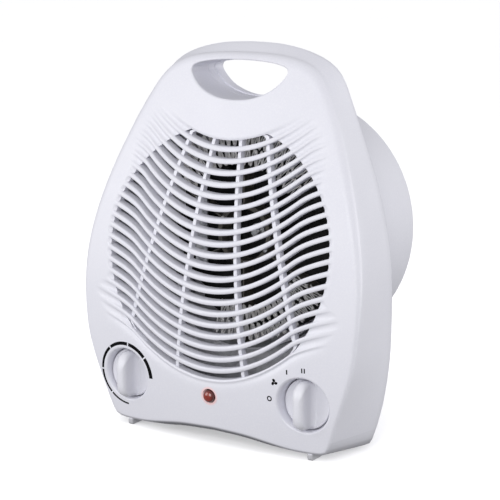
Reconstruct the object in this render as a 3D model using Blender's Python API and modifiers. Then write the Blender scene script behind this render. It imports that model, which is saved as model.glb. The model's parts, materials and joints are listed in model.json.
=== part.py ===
"""Fan convector heater, upright table model: a hollow two-part plastic case with a handle hole, a wavy air grille,
two rotary controls, a pilot light, and inside it a duct with a fan, its motor and a two-stage wire element.

Metres, +Z up, +Y away from the front. The origin is on the ground, under the middle of the outer box.
Sizes below are millimetres on the drawing, with depth measured from the drawing's own datum plane;
at() turns them into metres in the part's frame.
"""

import math

import bmesh
import bpy
from mathutils import Vector

# ---------------------------------------------------------------- driving dimensions (millimetres)
DATUM_DEPTH = 55.25  # depth of the part's middle behind the drawing's datum plane
WALL = 2.6
GAP = 0.3  # between pieces that touch
SEAM = 50.0  # depth of the joint between front and rear shell
CORNER = 4.0  # rounding of the case's front edge

# the front face: it leans back and is crowned both ways
LEAN = -0.0617
CROWN_X = 0.00129
CROWN_Z = 0.00303
CROWN_FOOT = 53.8
STRAIGHT_FROM = 180.0  # above this height the face runs straight up

# outline of the case, one side, from the middle of the bottom to the middle of the top:
# half width and height at the front edge, then half width and height at the seam
STATIONS = [
    (0.0, 8.2, 0.0, 3.4),
    (22.0, 7.2, 24.0, 2.8),
    (40.0, 5.2, 44.0, 1.8),
    (72.0, 4.6, 80.0, 1.2),
    (77.0, 6.4, 86.4, 3.4),
    (80.0, 12.5, 90.6, 11.0),
    (86.0, 28.0, 96.0, 28.0),
    (91.2, 43.0, 99.0, 45.0),
    (96.6, 60.0, 100.8, 62.0),
    (100.0, 82.0, 101.3, 84.0),
    (101.0, 102.0, 101.2, 102.0),
    (100.0, 120.0, 100.2, 120.0),
    (97.4, 137.0, 97.6, 137.0),
    (93.3, 154.0, 93.6, 155.0),
    (87.6, 171.6, 88.2, 173.0),
    (80.4, 189.4, 81.4, 191.5),
    (72.4, 206.8, 74.6, 209.0),
    (65.2, 220.2, 69.0, 223.0),
    (59.8, 229.2, 64.6, 232.4),
    (53.4, 236.2, 58.6, 239.0),
    (45.0, 241.0, 50.0, 244.0),
    (33.0, 244.2, 37.0, 248.4),
    (17.0, 245.8, 20.0, 251.4),
    (0.0, 246.2, 0.0, 252.3),
]
REAR_FACE = 69.0
REAR_INSET = 9.5
REAR_INSET_TOP = 5.6

# handle hole, one side, from the middle of its top round to the middle of its bottom
HANDLE_HOLE = [
    (0.0, 241.5), (13.0, 241.1), (25.0, 239.9), (32.5, 238.3), (36.4, 236.4), (36.9, 234.4),
    (35.2, 231.8), (31.6, 227.8), (26.4, 223.9), (19.5, 220.5), (10.5, 217.9), (0.0, 217.0),
]

# grille: slots follow one wave and lie inside an oval
SLOTS = 21
SLOT_TOP = 191.7
SLOT_PITCH = 7.19
SLOT_HEIGHT = 4.0
WAVE_BOW = 0.0069
WAVE_TURN = 57.0
WAVE_END_SLOPE = 0.30
WAVE_FADE = 8.0
OVAL_CENTRE = 127.0
OVAL_WIDE = 81.3
OVAL_UP = 76.8
OVAL_DOWN = 85.0
GRILLE_DEPTH = 5.4
RIB_INNER = (9.9, 192.0, 0.105)  # half distance, at this height, growing this much per mm down
RIB_OUTER = (28.0, 197.0, 0.271)
RIB_WIDTH = 2.2

# controls
KNOB_X = 66.9
KNOB_Z = 36.1
KNOB_R = 15.9
KNOB_FACE = 7.9  # depth of the disc's face
KNOB_DISC = 3.0
WING_FRONT = -6.6
WING_WIDE = 9.4
RECESS_RIM = 18.4
RECESS_FLOOR_R = 16.6
RECESS_FLOOR = 11.4
SPINDLE_R = 3.0
PILOT_Z = 32.3
PILOT_R = 4.5

# air path and its parts, all on one axis
AXIS_Z = 130.0
DRUM_R = 83.0
DRUM_REAR = 117.1
DUCT_R = 74.0
DUCT_WALL = 1.0
DUCT_FRONT = 34.0
DUCT_REAR = 89.0
FLANGE_R = 80.1
ELEMENT_IN = 45.0
ELEMENT_OUT = 69.0
ELEMENT_FRONT = 34.6
ELEMENT_REAR = 38.0
MICA_REAR = 50.0
FAN_R = 67.0
FAN_FRONT = 57.0
FAN_REAR = 75.0
BLADES = 7
SHAFT_R = 2.0
CORE_FRONT = 86.0
CORE_REAR = 100.0

POSTS = [(82.0, 64.0), (53.0, 204.0)]  # case screws, one side
PEDESTAL = (60.0, 92.0, 34.0)  # half width, rear depth, height

# ---------------------------------------------------------------- scene set-up
for old in list(bpy.data.objects):
    bpy.data.objects.remove(old, do_unlink=True)

heater = bpy.data.collections.new("fan_convector_heater")
cutters = bpy.data.collections.new("cutters")
bpy.context.scene.collection.children.link(heater)
bpy.context.scene.collection.children.link(cutters)


def material(name, colour, roughness, metallic=0.0, transmission=0.0):
    mat = bpy.data.materials.new(name)
    mat.use_nodes = True
    shader = mat.node_tree.nodes["Principled BSDF"]
    shader.inputs["Base Color"].default_value = (*colour, 1.0)
    shader.inputs["Roughness"].default_value = roughness
    shader.inputs["Metallic"].default_value = metallic
    shader.inputs["Transmission Weight"].default_value = transmission
    mat.diffuse_color = (*colour, 1.0)
    return mat


WHITE = material("white_plastic", (0.80, 0.80, 0.86), 0.42)
KNOB_WHITE = material("knob_plastic", (0.78, 0.78, 0.84), 0.38)
RED = material("red_lens", (0.36, 0.02, 0.015), 0.12)
GLASS = material("lamp_glass", (0.85, 0.75, 0.65), 0.05, 0.0, 0.9)
RUBBER = material("rubber", (0.04, 0.04, 0.042), 0.75)
STEEL = material("zinc_steel", (0.55, 0.56, 0.58), 0.35, 1.0)
GALVANISED = material("galvanised_sheet", (0.42, 0.43, 0.45), 0.45, 1.0)
MICA = material("mica_board", (0.50, 0.44, 0.34), 0.6)
WIRE = material("resistance_wire", (0.46, 0.44, 0.42), 0.4, 1.0)
BLACK = material("black_plastic", (0.02, 0.02, 0.022), 0.5)
IRON = material("laminated_iron", (0.20, 0.20, 0.21), 0.5, 1.0)
COPPER = material("enamelled_copper", (0.45, 0.17, 0.06), 0.35, 1.0)
BRONZE = material("sintered_bronze", (0.50, 0.33, 0.14), 0.5, 1.0)
BRASS = material("brass", (0.70, 0.52, 0.22), 0.3, 1.0)
CERAMIC = material("steatite_ceramic", (0.80, 0.77, 0.70), 0.5)
NYLON = material("switch_nylon", (0.62, 0.60, 0.55), 0.5)
LEAD_BROWN = material("lead_brown", (0.16, 0.06, 0.03), 0.5)
LEAD_BLUE = material("lead_blue", (0.03, 0.08, 0.28), 0.5)


# ---------------------------------------------------------------- modelling helpers
def at(x, y, z):
    """A point of the drawing in metres, in the part's frame."""
    return Vector((x, y - DATUM_DEPTH, z)) * 0.001


def add(name, mesh, mat, collection=heater, origin=None):
    """An object holding this mesh. Its origin is moved to a point of the frame without moving the mesh."""
    obj = bpy.data.objects.new(name, mesh)
    collection.objects.link(obj)
    if mat:
        mesh.materials.append(mat)
    if origin is not None:
        for vertex in mesh.vertices:
            vertex.co -= origin
        obj.location = origin
    if collection is cutters:
        obj.hide_render = True
        obj.display_type = "WIRE"
    return obj


def finish_mesh(bm, name):
    bmesh.ops.recalc_face_normals(bm, faces=bm.faces[:])
    mesh = bpy.data.meshes.new(name)
    bm.to_mesh(mesh)
    bm.free()
    return mesh


def smooth(obj, angle=32):
    obj.data.shade_smooth()
    obj.data.set_sharp_from_angle(angle=math.radians(angle))
    return obj


def box(name, xs, ys, zs, mat, collection=heater, bevel=0.0, origin=None):
    bm = bmesh.new()
    bmesh.ops.create_cube(bm, size=1.0)
    low, high = at(xs[0], ys[0], zs[0]), at(xs[1], ys[1], zs[1])
    for vertex in bm.verts:
        vertex.co = Vector(
            tuple((low[i] + high[i]) / 2 + vertex.co[i] * (high[i] - low[i]) for i in range(3))
        )
    obj = add(name, finish_mesh(bm, name), mat, collection, origin)
    if bevel:
        rounding = obj.modifiers.new("rounded_edges", "BEVEL")
        rounding.width = bevel * 0.001
        rounding.segments = 1
        rounding.limit_method = "ANGLE"
    return obj


def rod(name, x, z, radius, y_front, y_rear, mat, sides=16, collection=heater, tip=None, origin=None):
    """A cylinder or cone along the depth."""
    bm = bmesh.new()
    bmesh.ops.create_cone(
        bm, cap_ends=True, segments=sides, radius1=radius * 0.001,
        radius2=(radius if tip is None else tip) * 0.001, depth=(y_rear - y_front) * 0.001,
    )
    middle = at(x, (y_front + y_rear) / 2, z)
    for vertex in bm.verts:
        # the cone's own axis, from radius2 to radius1, is laid along the depth with radius2 in front
        vertex.co = Vector((vertex.co.x, -vertex.co.z, vertex.co.y)) + middle
    return smooth(add(name, finish_mesh(bm, name), mat, collection, origin))


def turned(name, x, z, profile, mat, steps=32, collection=heater, closed=False):
    """A turned piece on an axis along the depth: profile points are (radius, depth), rear to front down the outside."""
    mesh = bpy.data.meshes.new(name)
    points = [(r * 0.001, 0.0, (y - DATUM_DEPTH) * 0.001) for r, y in profile]
    edges = [(i, i + 1) for i in range(len(points) - 1)]
    if closed:
        edges.append((len(points) - 1, 0))
    mesh.from_pydata(points, edges, [])
    obj = add(name, mesh, mat, collection)
    obj.location = (x * 0.001, 0.0, z * 0.001)
    obj.rotation_euler = (-math.pi / 2, 0.0, 0.0)
    screw = obj.modifiers.new("turn", "SCREW")
    screw.angle = 2 * math.pi
    screw.steps = steps
    screw.render_steps = steps
    screw.use_merge_vertices = True
    screw.merge_threshold = 0.00001
    screw.use_smooth_shade = True
    return obj


def plate(name, loops, y_front, y_rear, mat, collection=heater, origin=None):
    """A flat piece: closed outlines in the front view, the first one outside, made solid between two depths."""
    curve = bpy.data.curves.new(name + "_outline", "CURVE")
    curve.dimensions = "2D"
    curve.fill_mode = "BOTH"
    curve.extrude = (y_rear - y_front) / 2 * 0.001
    for loop in loops:
        spline = curve.splines.new("POLY")
        spline.points.add(len(loop) - 1)
        for point, (x, z) in zip(spline.points, loop):
            point.co = (x * 0.001, z * 0.001, 0.0, 1.0)
        spline.use_cyclic_u = True
    guide = bpy.data.objects.new(name + "_guide", curve)
    cutters.objects.link(guide)
    guide.rotation_euler = (math.pi / 2, 0.0, 0.0)
    guide.location = (0.0, ((y_front + y_rear) / 2 - DATUM_DEPTH) * 0.001, 0.0)
    bpy.context.view_layer.update()
    graph = bpy.context.evaluated_depsgraph_get()
    mesh = bpy.data.meshes.new_from_object(guide.evaluated_get(graph))
    mesh.transform(guide.matrix_world)
    bpy.data.objects.remove(guide, do_unlink=True)
    bm = bmesh.new()
    bm.from_mesh(mesh)
    bmesh.ops.remove_doubles(bm, verts=bm.verts[:], dist=0.000005)
    bmesh.ops.recalc_face_normals(bm, faces=bm.faces[:])
    bm.to_mesh(mesh)
    bm.free()
    mesh.materials.clear()
    mesh.name = name
    return add(name, mesh, mat, collection, origin)


def loft(name, rings, mat, collection=heater, caps=(True, True)):
    """Rings of equally many points, joined side by side."""
    bm = bmesh.new()
    rows = [[bm.verts.new(p) for p in ring] for ring in rings]
    count = len(rows[0])
    for near, far in zip(rows, rows[1:]):
        for i in range(count):
            j = (i + 1) % count
            bm.faces.new((near[i], near[j], far[j], far[i]))
    if caps[0]:
        bm.faces.new(list(reversed(rows[0])))
    if caps[1]:
        bm.faces.new(rows[-1])
    return add(name, finish_mesh(bm, name), mat, collection)


def wire(name, points, radius, mat, origin=None):
    """A lead along a smooth path through these points."""
    path = []
    last = len(points) - 1
    for i in range(last):
        p0, p1 = Vector(points[max(i - 1, 0)]), Vector(points[i])
        p2, p3 = Vector(points[i + 1]), Vector(points[min(i + 2, last)])
        for step in range(4):
            t = step / 4
            path.append(
                0.5 * ((2 * p1) + (p2 - p0) * t + (2 * p0 - 5 * p1 + 4 * p2 - p3) * t**2
                       + (3 * p1 - p0 - 3 * p2 + p3) * t**3)
            )
    path.append(Vector(points[-1]))
    curve = bpy.data.curves.new(name, "CURVE")
    curve.dimensions = "3D"
    curve.bevel_depth = radius * 0.001
    curve.bevel_resolution = 1
    curve.use_fill_caps = True
    spline = curve.splines.new("POLY")
    spline.points.add(len(path) - 1)
    for point, p in zip(spline.points, path):
        point.co = (*at(*p), 1.0)
    curve.materials.append(mat)
    obj = bpy.data.objects.new(name, curve)
    heater.objects.link(obj)
    return obj


def cut(obj, other, solver="EXACT", own=False):
    step = obj.modifiers.new("cut_" + other.name, "BOOLEAN")
    step.operation = "DIFFERENCE"
    step.solver = solver
    step.object = other
    step.use_self = own
    return obj


def join(obj, other):
    step = obj.modifiers.new("join_" + other.name, "BOOLEAN")
    step.operation = "UNION"
    step.solver = "EXACT"
    step.object = other
    return obj


def circle(x, z, radius, count, start=0.0):
    return [
        (x + radius * math.cos(start + 2 * math.pi * i / count), z + radius * math.sin(start + 2 * math.pi * i / count))
        for i in range(count)
    ]


# ---------------------------------------------------------------- shape of the case
def face_depth(x, z):
    """Depth of the case's front face."""
    low = min(z, STRAIGHT_FROM)
    depth = LEAN * low + CROWN_Z * (low - CROWN_FOOT) ** 2 / 2
    if z > STRAIGHT_FROM:
        depth += (LEAN + CROWN_Z * (STRAIGHT_FROM - CROWN_FOOT)) * (z - STRAIGHT_FROM)
    return depth + CROWN_X * x * x / 2


def outline(blend, inset=0.0, inset_top=None):
    """The whole outline, counter-clockwise from the front, between front edge (0) and seam (1), moved inwards."""
    half = [(a + (c - a) * blend, b + (d - b) * blend) for a, b, c, d in STATIONS]
    loop = half + [(-x, z) for x, z in reversed(half[1:-1])]
    count = len(loop)
    moved = []
    for i, (x, z) in enumerate(loop):
        (ax, az), (bx, bz) = loop[i - 1], loop[(i + 1) % count]
        e1 = Vector((x - ax, z - az)).normalized()
        e2 = Vector((bx - x, bz - z)).normalized()
        mitre = Vector((-(e1.y + e2.y), e1.x + e2.x)).normalized()
        reach = inset
        if inset_top is not None and z > 225:
            reach = inset + (inset_top - inset) * min(1.0, (z - 225) / 20)
        reach /= max(0.5, mitre.dot(Vector((-e1.y, e1.x))))
        moved.append((x + mitre.x * reach, z + mitre.y * reach))
    return moved


def front_ring(inset, back, blend=0.0):
    edge = outline(0.0)
    return [
        at(x, face_depth(ex, ez) + back, z)
        for (x, z), (ex, ez) in zip(outline(blend, inset), edge)
    ]


def seam_ring(depth, inset=0.0, inset_top=None):
    return [at(x, depth, z) for x, z in outline(1.0, inset, inset_top)]


def wave(x):
    """Height of a slot's middle line above its lowest point, at this half width."""
    x = abs(x)
    if x <= WAVE_TURN:
        return WAVE_BOW * x * x
    rise = WAVE_BOW * WAVE_TURN**2
    slope = 2 * WAVE_BOW * WAVE_TURN
    over = x - WAVE_TURN
    return rise + WAVE_END_SLOPE * over + (slope - WAVE_END_SLOPE) * WAVE_FADE * (1 - math.exp(-over / WAVE_FADE))


def inside_oval(x, z):
    reach = OVAL_UP if z > OVAL_CENTRE else OVAL_DOWN
    return (x / OVAL_WIDE) ** 2 + ((z - OVAL_CENTRE) / reach) ** 2 < 1


def rib_x(rib, z):
    return rib[0] + rib[2] * (rib[1] - z)


def slot_cells():
    """Closed outlines of all the openings between the ribs."""
    cells = []
    for k in range(SLOTS):
        low = SLOT_TOP - SLOT_PITCH * k
        end = 0.0
        while inside_oval(end + 0.5, low + wave(end + 0.5)) and end < 82:
            end += 0.5
        stops = []
        for rib in (RIB_INNER, RIB_OUTER):
            x = rib_x(rib, low)
            for _ in range(6):
                x = rib_x(rib, low + wave(x))
            stops.append(x)
        spans = [(-stops[0] + RIB_WIDTH / 2, stops[0] - RIB_WIDTH / 2)]
        for a, b in ((stops[0], stops[1] - RIB_WIDTH), (stops[1], end - RIB_WIDTH / 2)):
            if b - a > 1.6:
                spans.append((a + RIB_WIDTH / 2, b + RIB_WIDTH / 2))
                spans.append((-b - RIB_WIDTH / 2, -a - RIB_WIDTH / 2))
        for a, b in spans:
            parts = max(1, round((b - a) / 17))
            xs = [a + (b - a) * i / parts for i in range(parts + 1)]
            half = SLOT_HEIGHT / 2
            cells.append([(x, low + wave(x) - half) for x in xs] + [(x, low + wave(x) + half) for x in reversed(xs)])
    return cells


def hole_outline(grow=0.0):
    half = HANDLE_HOLE
    loop = half + [(-x, z) for x, z in reversed(half[1:-1])]
    count = len(loop)
    moved = []
    for i, (x, z) in enumerate(loop):
        (ax, az), (bx, bz) = loop[i - 1], loop[(i + 1) % count]
        e1 = Vector((x - ax, z - az)).normalized()
        e2 = Vector((bx - x, bz - z)).normalized()
        out = Vector((-(e1.y + e2.y), e1.x + e2.x)).normalized()
        reach = grow / max(0.6, out.dot(Vector((-e1.y, e1.x))))
        moved.append((x + out.x * reach, z + out.y * reach))
    return moved


# ---------------------------------------------------------------- front shell
def make_front_shell():
    middle = Vector((0.0, 125.0))
    rim = outline(0.0, CORNER)
    rings = [seam_ring(SEAM), seam_ring(SEAM - 2.5)]
    half_way = [
        (a + b) / 2 for a, b in zip(seam_ring(SEAM), front_ring(0.0, CORNER))
    ]
    rings.append(half_way)
    rings.append(front_ring(0.0, CORNER))
    rings.append(front_ring(CORNER * 0.29, CORNER * 0.29))
    rings.append([at(x, face_depth(x, z), z) for x, z in rim])
    bm = bmesh.new()
    rows = [[bm.verts.new(p) for p in ring] for ring in rings]
    count = len(rows[0])
    for near, far in zip(rows, rows[1:]):
        for i in range(count):
            j = (i + 1) % count
            bm.faces.new((near[i], near[j], far[j], far[i]))
    # the crowned face itself needs few facets: two wider rings inside the rim
    outer = rows[-1]
    for share, number in ((0.9, 16), (0.46, 8)):
        inner = []
        for i in range(number):
            x, z = rim[round(i * len(rim) / number) % len(rim)]
            fx, fz = x * share, middle.y + (z - middle.y) * share
            inner.append(bm.verts.new(at(fx, face_depth(fx, fz), fz)))
        edges = [bm.edges.get((outer[i - 1], outer[i])) or bm.edges.new((outer[i - 1], outer[i])) for i in range(len(outer))]
        edges += [bm.edges.new((inner[i - 1], inner[i])) for i in range(number)]
        bmesh.ops.bridge_loops(bm, edges=edges)
        outer = inner
    bm.faces.new(outer)
    # the skin has to face outwards before it is given its thickness
    bmesh.ops.recalc_face_normals(bm, faces=bm.faces[:])
    if sum(f.normal.y * f.calc_area() for f in bm.faces if abs(f.normal.y) > 0.7) > 0:
        bmesh.ops.reverse_faces(bm, faces=bm.faces[:])
    mesh = bpy.data.meshes.new("front_shell")
    bm.to_mesh(mesh)
    bm.free()
    shell = add("front_shell", mesh, WHITE)
    wall = shell.modifiers.new("wall", "SOLIDIFY")
    wall.thickness = WALL * 0.001
    wall.offset = -1.0
    wall.use_even_offset = True

    # thicker field behind the grille
    field = []
    for depth in (1.4, GRILLE_DEPTH):
        ring = []
        for i in range(16):
            angle = 2 * math.pi * i / 16
            reach = OVAL_UP if math.sin(angle) > 0 else OVAL_DOWN
            x, z = (OVAL_WIDE + 1.6) * math.cos(angle), OVAL_CENTRE + (reach - 0.5) * math.sin(angle)
            ring.append((x, z, depth))
        for share in (0.5, 1.0) if depth < 2 else (1.0, 0.5):
            field.append([
                at(x * share, face_depth(x * share, OVAL_CENTRE + (z - OVAL_CENTRE) * share) + d,
                   OVAL_CENTRE + (z - OVAL_CENTRE) * share)
                for x, z, d in ring
            ])
    join(shell, loft("grille_field", field, None, cutters))

    # handle sleeve up to the seam
    sleeve = []
    wide = hole_outline(2.4)
    sleeve.append([at(x, face_depth(x, z) + 1.3, z) for x, z in wide])
    sleeve.append([at(x, SEAM, z) for x, z in wide])
    join(shell, loft("handle_sleeve_front", sleeve, None, cutters))
    cut(shell, plate("handle_hole_front", [hole_outline()], 5.0, 60.0, None, cutters))

    # cups that hold the knobs, posts for the case screws
    for side in (-1, 1):
        face = face_depth(KNOB_X, KNOB_Z)
        name = "left" if side < 0 else "right"
        join(shell, rod(f"knob_cup_{name}", side * KNOB_X, KNOB_Z, RECESS_RIM + 1.4, face + 1.2, RECESS_FLOOR + 2.4,
                        None, 28, cutters, tip=RECESS_RIM + 1.4))
        for number, (x, z) in enumerate(POSTS):
            join(shell, rod(f"front_post_{name}_{number}", side * x, z, 3.6, face_depth(x, z) + 1.3, SEAM, None, 10, cutters))
    for side in (-1, 1):
        name = "left" if side < 0 else "right"
        face = face_depth(KNOB_X, KNOB_Z)
        cut(shell, turned(f"knob_recess_{name}", side * KNOB_X, KNOB_Z,
                          [(0.0, RECESS_FLOOR), (RECESS_FLOOR_R, RECESS_FLOOR), (RECESS_FLOOR_R, face + 4.2),
                           (RECESS_RIM, face + 0.6), (RECESS_RIM + 1.6, face - 4.0), (0.0, face - 4.0)],
                          None, 28, cutters))
        cut(shell, rod(f"spindle_hole_{name}", side * KNOB_X, KNOB_Z, 4.4, 5.0, 20.0, None, 12, cutters))
        for number, (x, z) in enumerate(POSTS):
            cut(shell, rod(f"front_screw_hole_{name}_{number}", side * x, z, 1.8, 34.0, 60.0, None, 8, cutters))
        # moulded front foot, a bar under the edge
        foot = [[], []]
        for x, ring in ((66.9, foot[0]), (70.7, foot[1])):
            for y, z in ((7.6, 0.0), (19.5, 0.0), (21.0, 5.4), (7.6, 6.6)):
                ring.append(at(side * x, y, z))
        join(shell, loft(f"front_foot_{name}", foot, None, cutters))
    cut(shell, rod("pilot_hole", 0.0, PILOT_Z, PILOT_R + 0.35, -8.0, 8.0, None, 16, cutters))
    cut(shell, plate("grille_slots", slot_cells(), -20.0, 34.0, None, cutters))
    return shell


front_shell = make_front_shell()


# ---------------------------------------------------------------- rear shell
def make_rear_shell():
    start = SEAM + GAP
    shell = loft(
        "rear_shell",
        [
            seam_ring(start),
            seam_ring(60.0, 0.7),
            seam_ring(65.6, 3.2, 2.2),
            seam_ring(REAR_FACE, REAR_INSET, REAR_INSET_TOP),
        ],
        WHITE,
    )
    join(shell, turned("drum_outside", 0.0, AXIS_Z,
                       [(0.0, DRUM_REAR), (DRUM_R - 6.0, DRUM_REAR), (DRUM_R - 1.8, DRUM_REAR - 1.8),
                        (DRUM_R, DRUM_REAR - 6.0), (DRUM_R, 62.0), (0.0, 62.0)], None, 44, cutters))
    wide, deep, high = PEDESTAL
    join(shell, box("pedestal_outside", (-wide, wide), (56.0, deep), (1.5, high), None, cutters, bevel=3.0))
    cut(shell, loft("rear_inside", [
        seam_ring(40.0, WALL), seam_ring(60.0, WALL + 0.7), seam_ring(64.0, WALL + 3.0, WALL + 2.2),
        seam_ring(REAR_FACE - WALL, REAR_INSET + 1.4, REAR_INSET_TOP + 1.4),
    ], None, cutters))
    cut(shell, turned("drum_inside", 0.0, AXIS_Z,
                      [(0.0, DRUM_REAR - WALL), (DRUM_R - 6.6, DRUM_REAR - WALL), (DRUM_R - WALL, DRUM_REAR - 6.6),
                       (DRUM_R - WALL, 58.0), (0.0, 58.0)], None, 44, cutters))
    cut(shell, box("pedestal_inside", (-wide + WALL, wide - WALL), (50.0, deep - WALL), (1.5 + WALL, high - WALL), None, cutters))
    # handle sleeve from the seam to the rear face
    wide_loop = hole_outline(2.4)
    join(shell, loft("handle_sleeve_rear", [[at(x, start, z) for x, z in wide_loop], [at(x, REAR_FACE - 1.2, z) for x, z in wide_loop]],
                     None, cutters))
    cut(shell, plate("handle_hole_rear", [hole_outline()], 44.0, 80.0, None, cutters))
    for side in (-1, 1):
        name = "left" if side < 0 else "right"
        for number, (x, z) in enumerate(POSTS):
            join(shell, rod(f"screw_well_{name}_{number}", side * x, z, 5.4, start, REAR_FACE - 1.0, None, 12, cutters))
    for side in (-1, 1):
        name = "left" if side < 0 else "right"
        for number, (x, z) in enumerate(POSTS):
            cut(shell, rod(f"well_bore_{name}_{number}", side * x, z, 3.8, 56.0, 80.0, None, 12, cutters))
            cut(shell, rod(f"well_hole_{name}_{number}", side * x, z, 1.9, 40.0, 57.0, None, 8, cutters))
    # posts for the duct, on the drum's wall
    for number in range(3):
        angle = math.pi / 2 + number * 2 * math.pi / 3
        x, z = 77.6 * math.cos(angle), AXIS_Z + 77.6 * math.sin(angle)
        join(shell, rod(f"duct_post_{number}", x, z, 3.4, DUCT_REAR + GAP, DRUM_REAR - 1.2, None, 8, cutters))
        cut(shell, rod(f"duct_post_hole_{number}", x, z, 1.7, 80.0, 106.0, None, 6, cutters))
    # air intake: bars of slots in the drum's rear wall
    slots = []
    for row in range(15):
        z = AXIS_Z + (row - 7) * 9.0
        reach = math.sqrt(69.0**2 - (z - AXIS_Z) ** 2)
        for a, b in ((4.0, reach),):
            if b - a < 6:
                continue
            slots.append([(a, z - 2.1), (b - 2, z - 2.1), (b, z), (b - 2, z + 2.1), (a, z + 2.1)])
            slots.append([(-x, zz) for x, zz in reversed(slots[-1])])
    cut(shell, plate("intake_slots", slots, DRUM_REAR - 8.0, DRUM_REAR + 8.0, None, cutters))
    # cord inlet
    cut(shell, rod("inlet_hole", -38.0, 18.0, 5.6, 84.0, 100.0, None, 16, cutters))
    return shell


rear_shell = make_rear_shell()

# ---------------------------------------------------------------- feet and case screws
for side, name in ((-1, "left"), (1, "right")):
    bm = bmesh.new()
    bmesh.ops.create_cone(bm, cap_ends=True, segments=20, radius1=0.0064, radius2=0.0064, depth=0.0012)
    mid = at(side * 48.0, 83.0, 0.6)
    for v in bm.verts:
        v.co += mid
    smooth(add(f"rear_foot_{name}", finish_mesh(bm, "foot"), RUBBER, origin=mid))

count = 0
for side in (-1, 1):
    for x, z in POSTS:
        count += 1
        turned(f"case_screw_{count}", side * x, z,
               [(0.0, 59.0), (2.6, 59.0), (3.3, 58.0), (3.3, 56.4), (1.45, 56.4), (1.45, 39.5), (0.5, 38.0), (0.0, 38.0)],
               STEEL, 12)

# ---------------------------------------------------------------- controls
for side, name in ((-1, "thermostat"), (1, "selector")):
    x = side * KNOB_X
    axis = at(x, KNOB_FACE, KNOB_Z)
    knob = rod(f"{name}_knob", x, KNOB_Z, KNOB_R, KNOB_FACE, KNOB_FACE + KNOB_DISC, KNOB_WHITE, 32, origin=axis)
    # wing: a rounded bar across the disc, narrower at its front edge
    rings = []
    for depth, wide, reach in ((WING_FRONT, 5.0, 11.8), (WING_FRONT + 1.6, 7.2, 14.0), (0.5, 8.4, 15.2), (KNOB_FACE + 1.0, WING_WIDE, 15.7)):
        ring = []
        for sx, sz in ((1, 1), (-1, 1), (-1, -1), (1, -1)):
            corner = [(wide / 2, reach - 2.2), (wide / 2 - 1.6, reach)]
            for cx, cz in corner if sx * sz > 0 else reversed(corner):
                ring.append(at(x + sx * cx, depth, KNOB_Z + sz * cz))
        rings.append(ring)
    join(knob, loft(f"{name}_wing", rings, None, cutters))
    cut(knob, rod(f"{name}_knob_bore", x, KNOB_Z, SPINDLE_R + 0.35, 0.0, 16.0, None, 12, cutters))
    rod(f"{name}_spindle", x, KNOB_Z, SPINDLE_R, 0.4, 23.0, BRASS if side < 0 else NYLON, 12, origin=axis)

thermostat = box("thermostat_body", (-KNOB_X - 15.0, -KNOB_X + 15.0), (14.3, 32.0), (KNOB_Z - 13.0, KNOB_Z + 13.0), CERAMIC, bevel=1.2)
cut(thermostat, rod("thermostat_bore", -KNOB_X, KNOB_Z, SPINDLE_R + 0.4, 10.0, 24.0, None, 12, cutters))
box("thermostat_blade", (-KNOB_X - 11.0, -KNOB_X + 13.0), (16.0, 26.0), (KNOB_Z + 13.4, KNOB_Z + 14.4), BRASS)
switch = box("switch_body", (KNOB_X - 15.0, KNOB_X + 15.0), (14.3, 37.5), (KNOB_Z - 14.0, KNOB_Z + 14.0), BLACK, bevel=1.2)
cut(switch, rod("switch_bore", KNOB_X, KNOB_Z, SPINDLE_R + 0.4, 10.0, 24.0, None, 12, cutters))

pilot_face = face_depth(0.0, PILOT_Z)
turned("pilot_lens", 0.0, PILOT_Z,
       [(0.0, 5.0), (3.2, 5.0), (3.2, 4.3), (5.6, 4.3), (5.6, 3.0), (PILOT_R, 3.0), (PILOT_R, pilot_face - 0.8),
        (PILOT_R - 1.0, pilot_face - 2.0), (2.0, pilot_face - 2.7), (0.0, pilot_face - 2.9)], RED, 20)
turned("pilot_lamp", 0.0, PILOT_Z,
       [(0.0, 18.0), (1.6, 18.0), (2.6, 16.5), (2.6, 6.6), (1.4, 5.4), (0.0, 5.3)], GLASS, 12)

# ---------------------------------------------------------------- air duct and baffle
duct = turned("fan_duct", 0.0, AXIS_Z,
              [(FLANGE_R, DUCT_REAR), (FLANGE_R, DUCT_REAR - 1.2), (DUCT_R, DUCT_REAR - 1.2), (DUCT_R, DUCT_FRONT),
               (DUCT_R - DUCT_WALL, DUCT_FRONT), (DUCT_R - DUCT_WALL, DUCT_REAR)], GALVANISED, 42, closed=True)
for number in range(3):
    angle = math.pi / 2 + number * 2 * math.pi / 3
    x, z = 77.6 * math.cos(angle), AXIS_Z + 77.6 * math.sin(angle)
    cut(duct, rod(f"flange_hole_{number}", x, z, 1.75, 80.0, 95.0, None, 8, cutters))
    turned(f"duct_screw_{number + 1}", x, z,
           [(0.0, 104.0), (0.5, 104.0), (1.35, 102.6), (1.35, DUCT_REAR - 1.5), (2.4, DUCT_REAR - 1.5),
            (2.4, DUCT_REAR - 3.0), (1.8, DUCT_REAR - 3.8), (0.0, DUCT_REAR - 3.8)], STEEL, 10)

rim = [(x, min(max(z, 30.0), 208.0)) for x, z in outline(0.7, WALL + 2.0)]
loop = []
for x, z in rim:
    if abs(z - 30.0) < 0.01:
        x = max(-88.0, min(88.0, x))
    if not loop or abs(loop[-1][0] - x) + abs(loop[-1][1] - z) > 1.5:
        loop.append((x, z))
bottom = [(x, z) for x, z in loop if z <= 30.01]
loop = [(x, z) for x, z in loop if 30.01 < z < 207.99]
loop = [(-86.0, 31.0), (86.0, 31.0)] + [p for p in loop if p[0] > 0] + [(70.0, 208.0), (-70.0, 208.0)] + [p for p in loop if p[0] < 0]
baffle = plate("air_baffle", [loop], 40.0, 41.0, GALVANISED)
cut(baffle, rod("baffle_hole", 0.0, AXIS_Z, DUCT_R + 0.5, 36.0, 45.0, None, 40, cutters))
for side in (-1, 1):
    for number, (x, z) in enumerate(POSTS):
        cut(baffle, rod(f"baffle_post_{side}_{number}", side * x, z, 4.1, 36.0, 45.0, None, 10, cutters))

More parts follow.
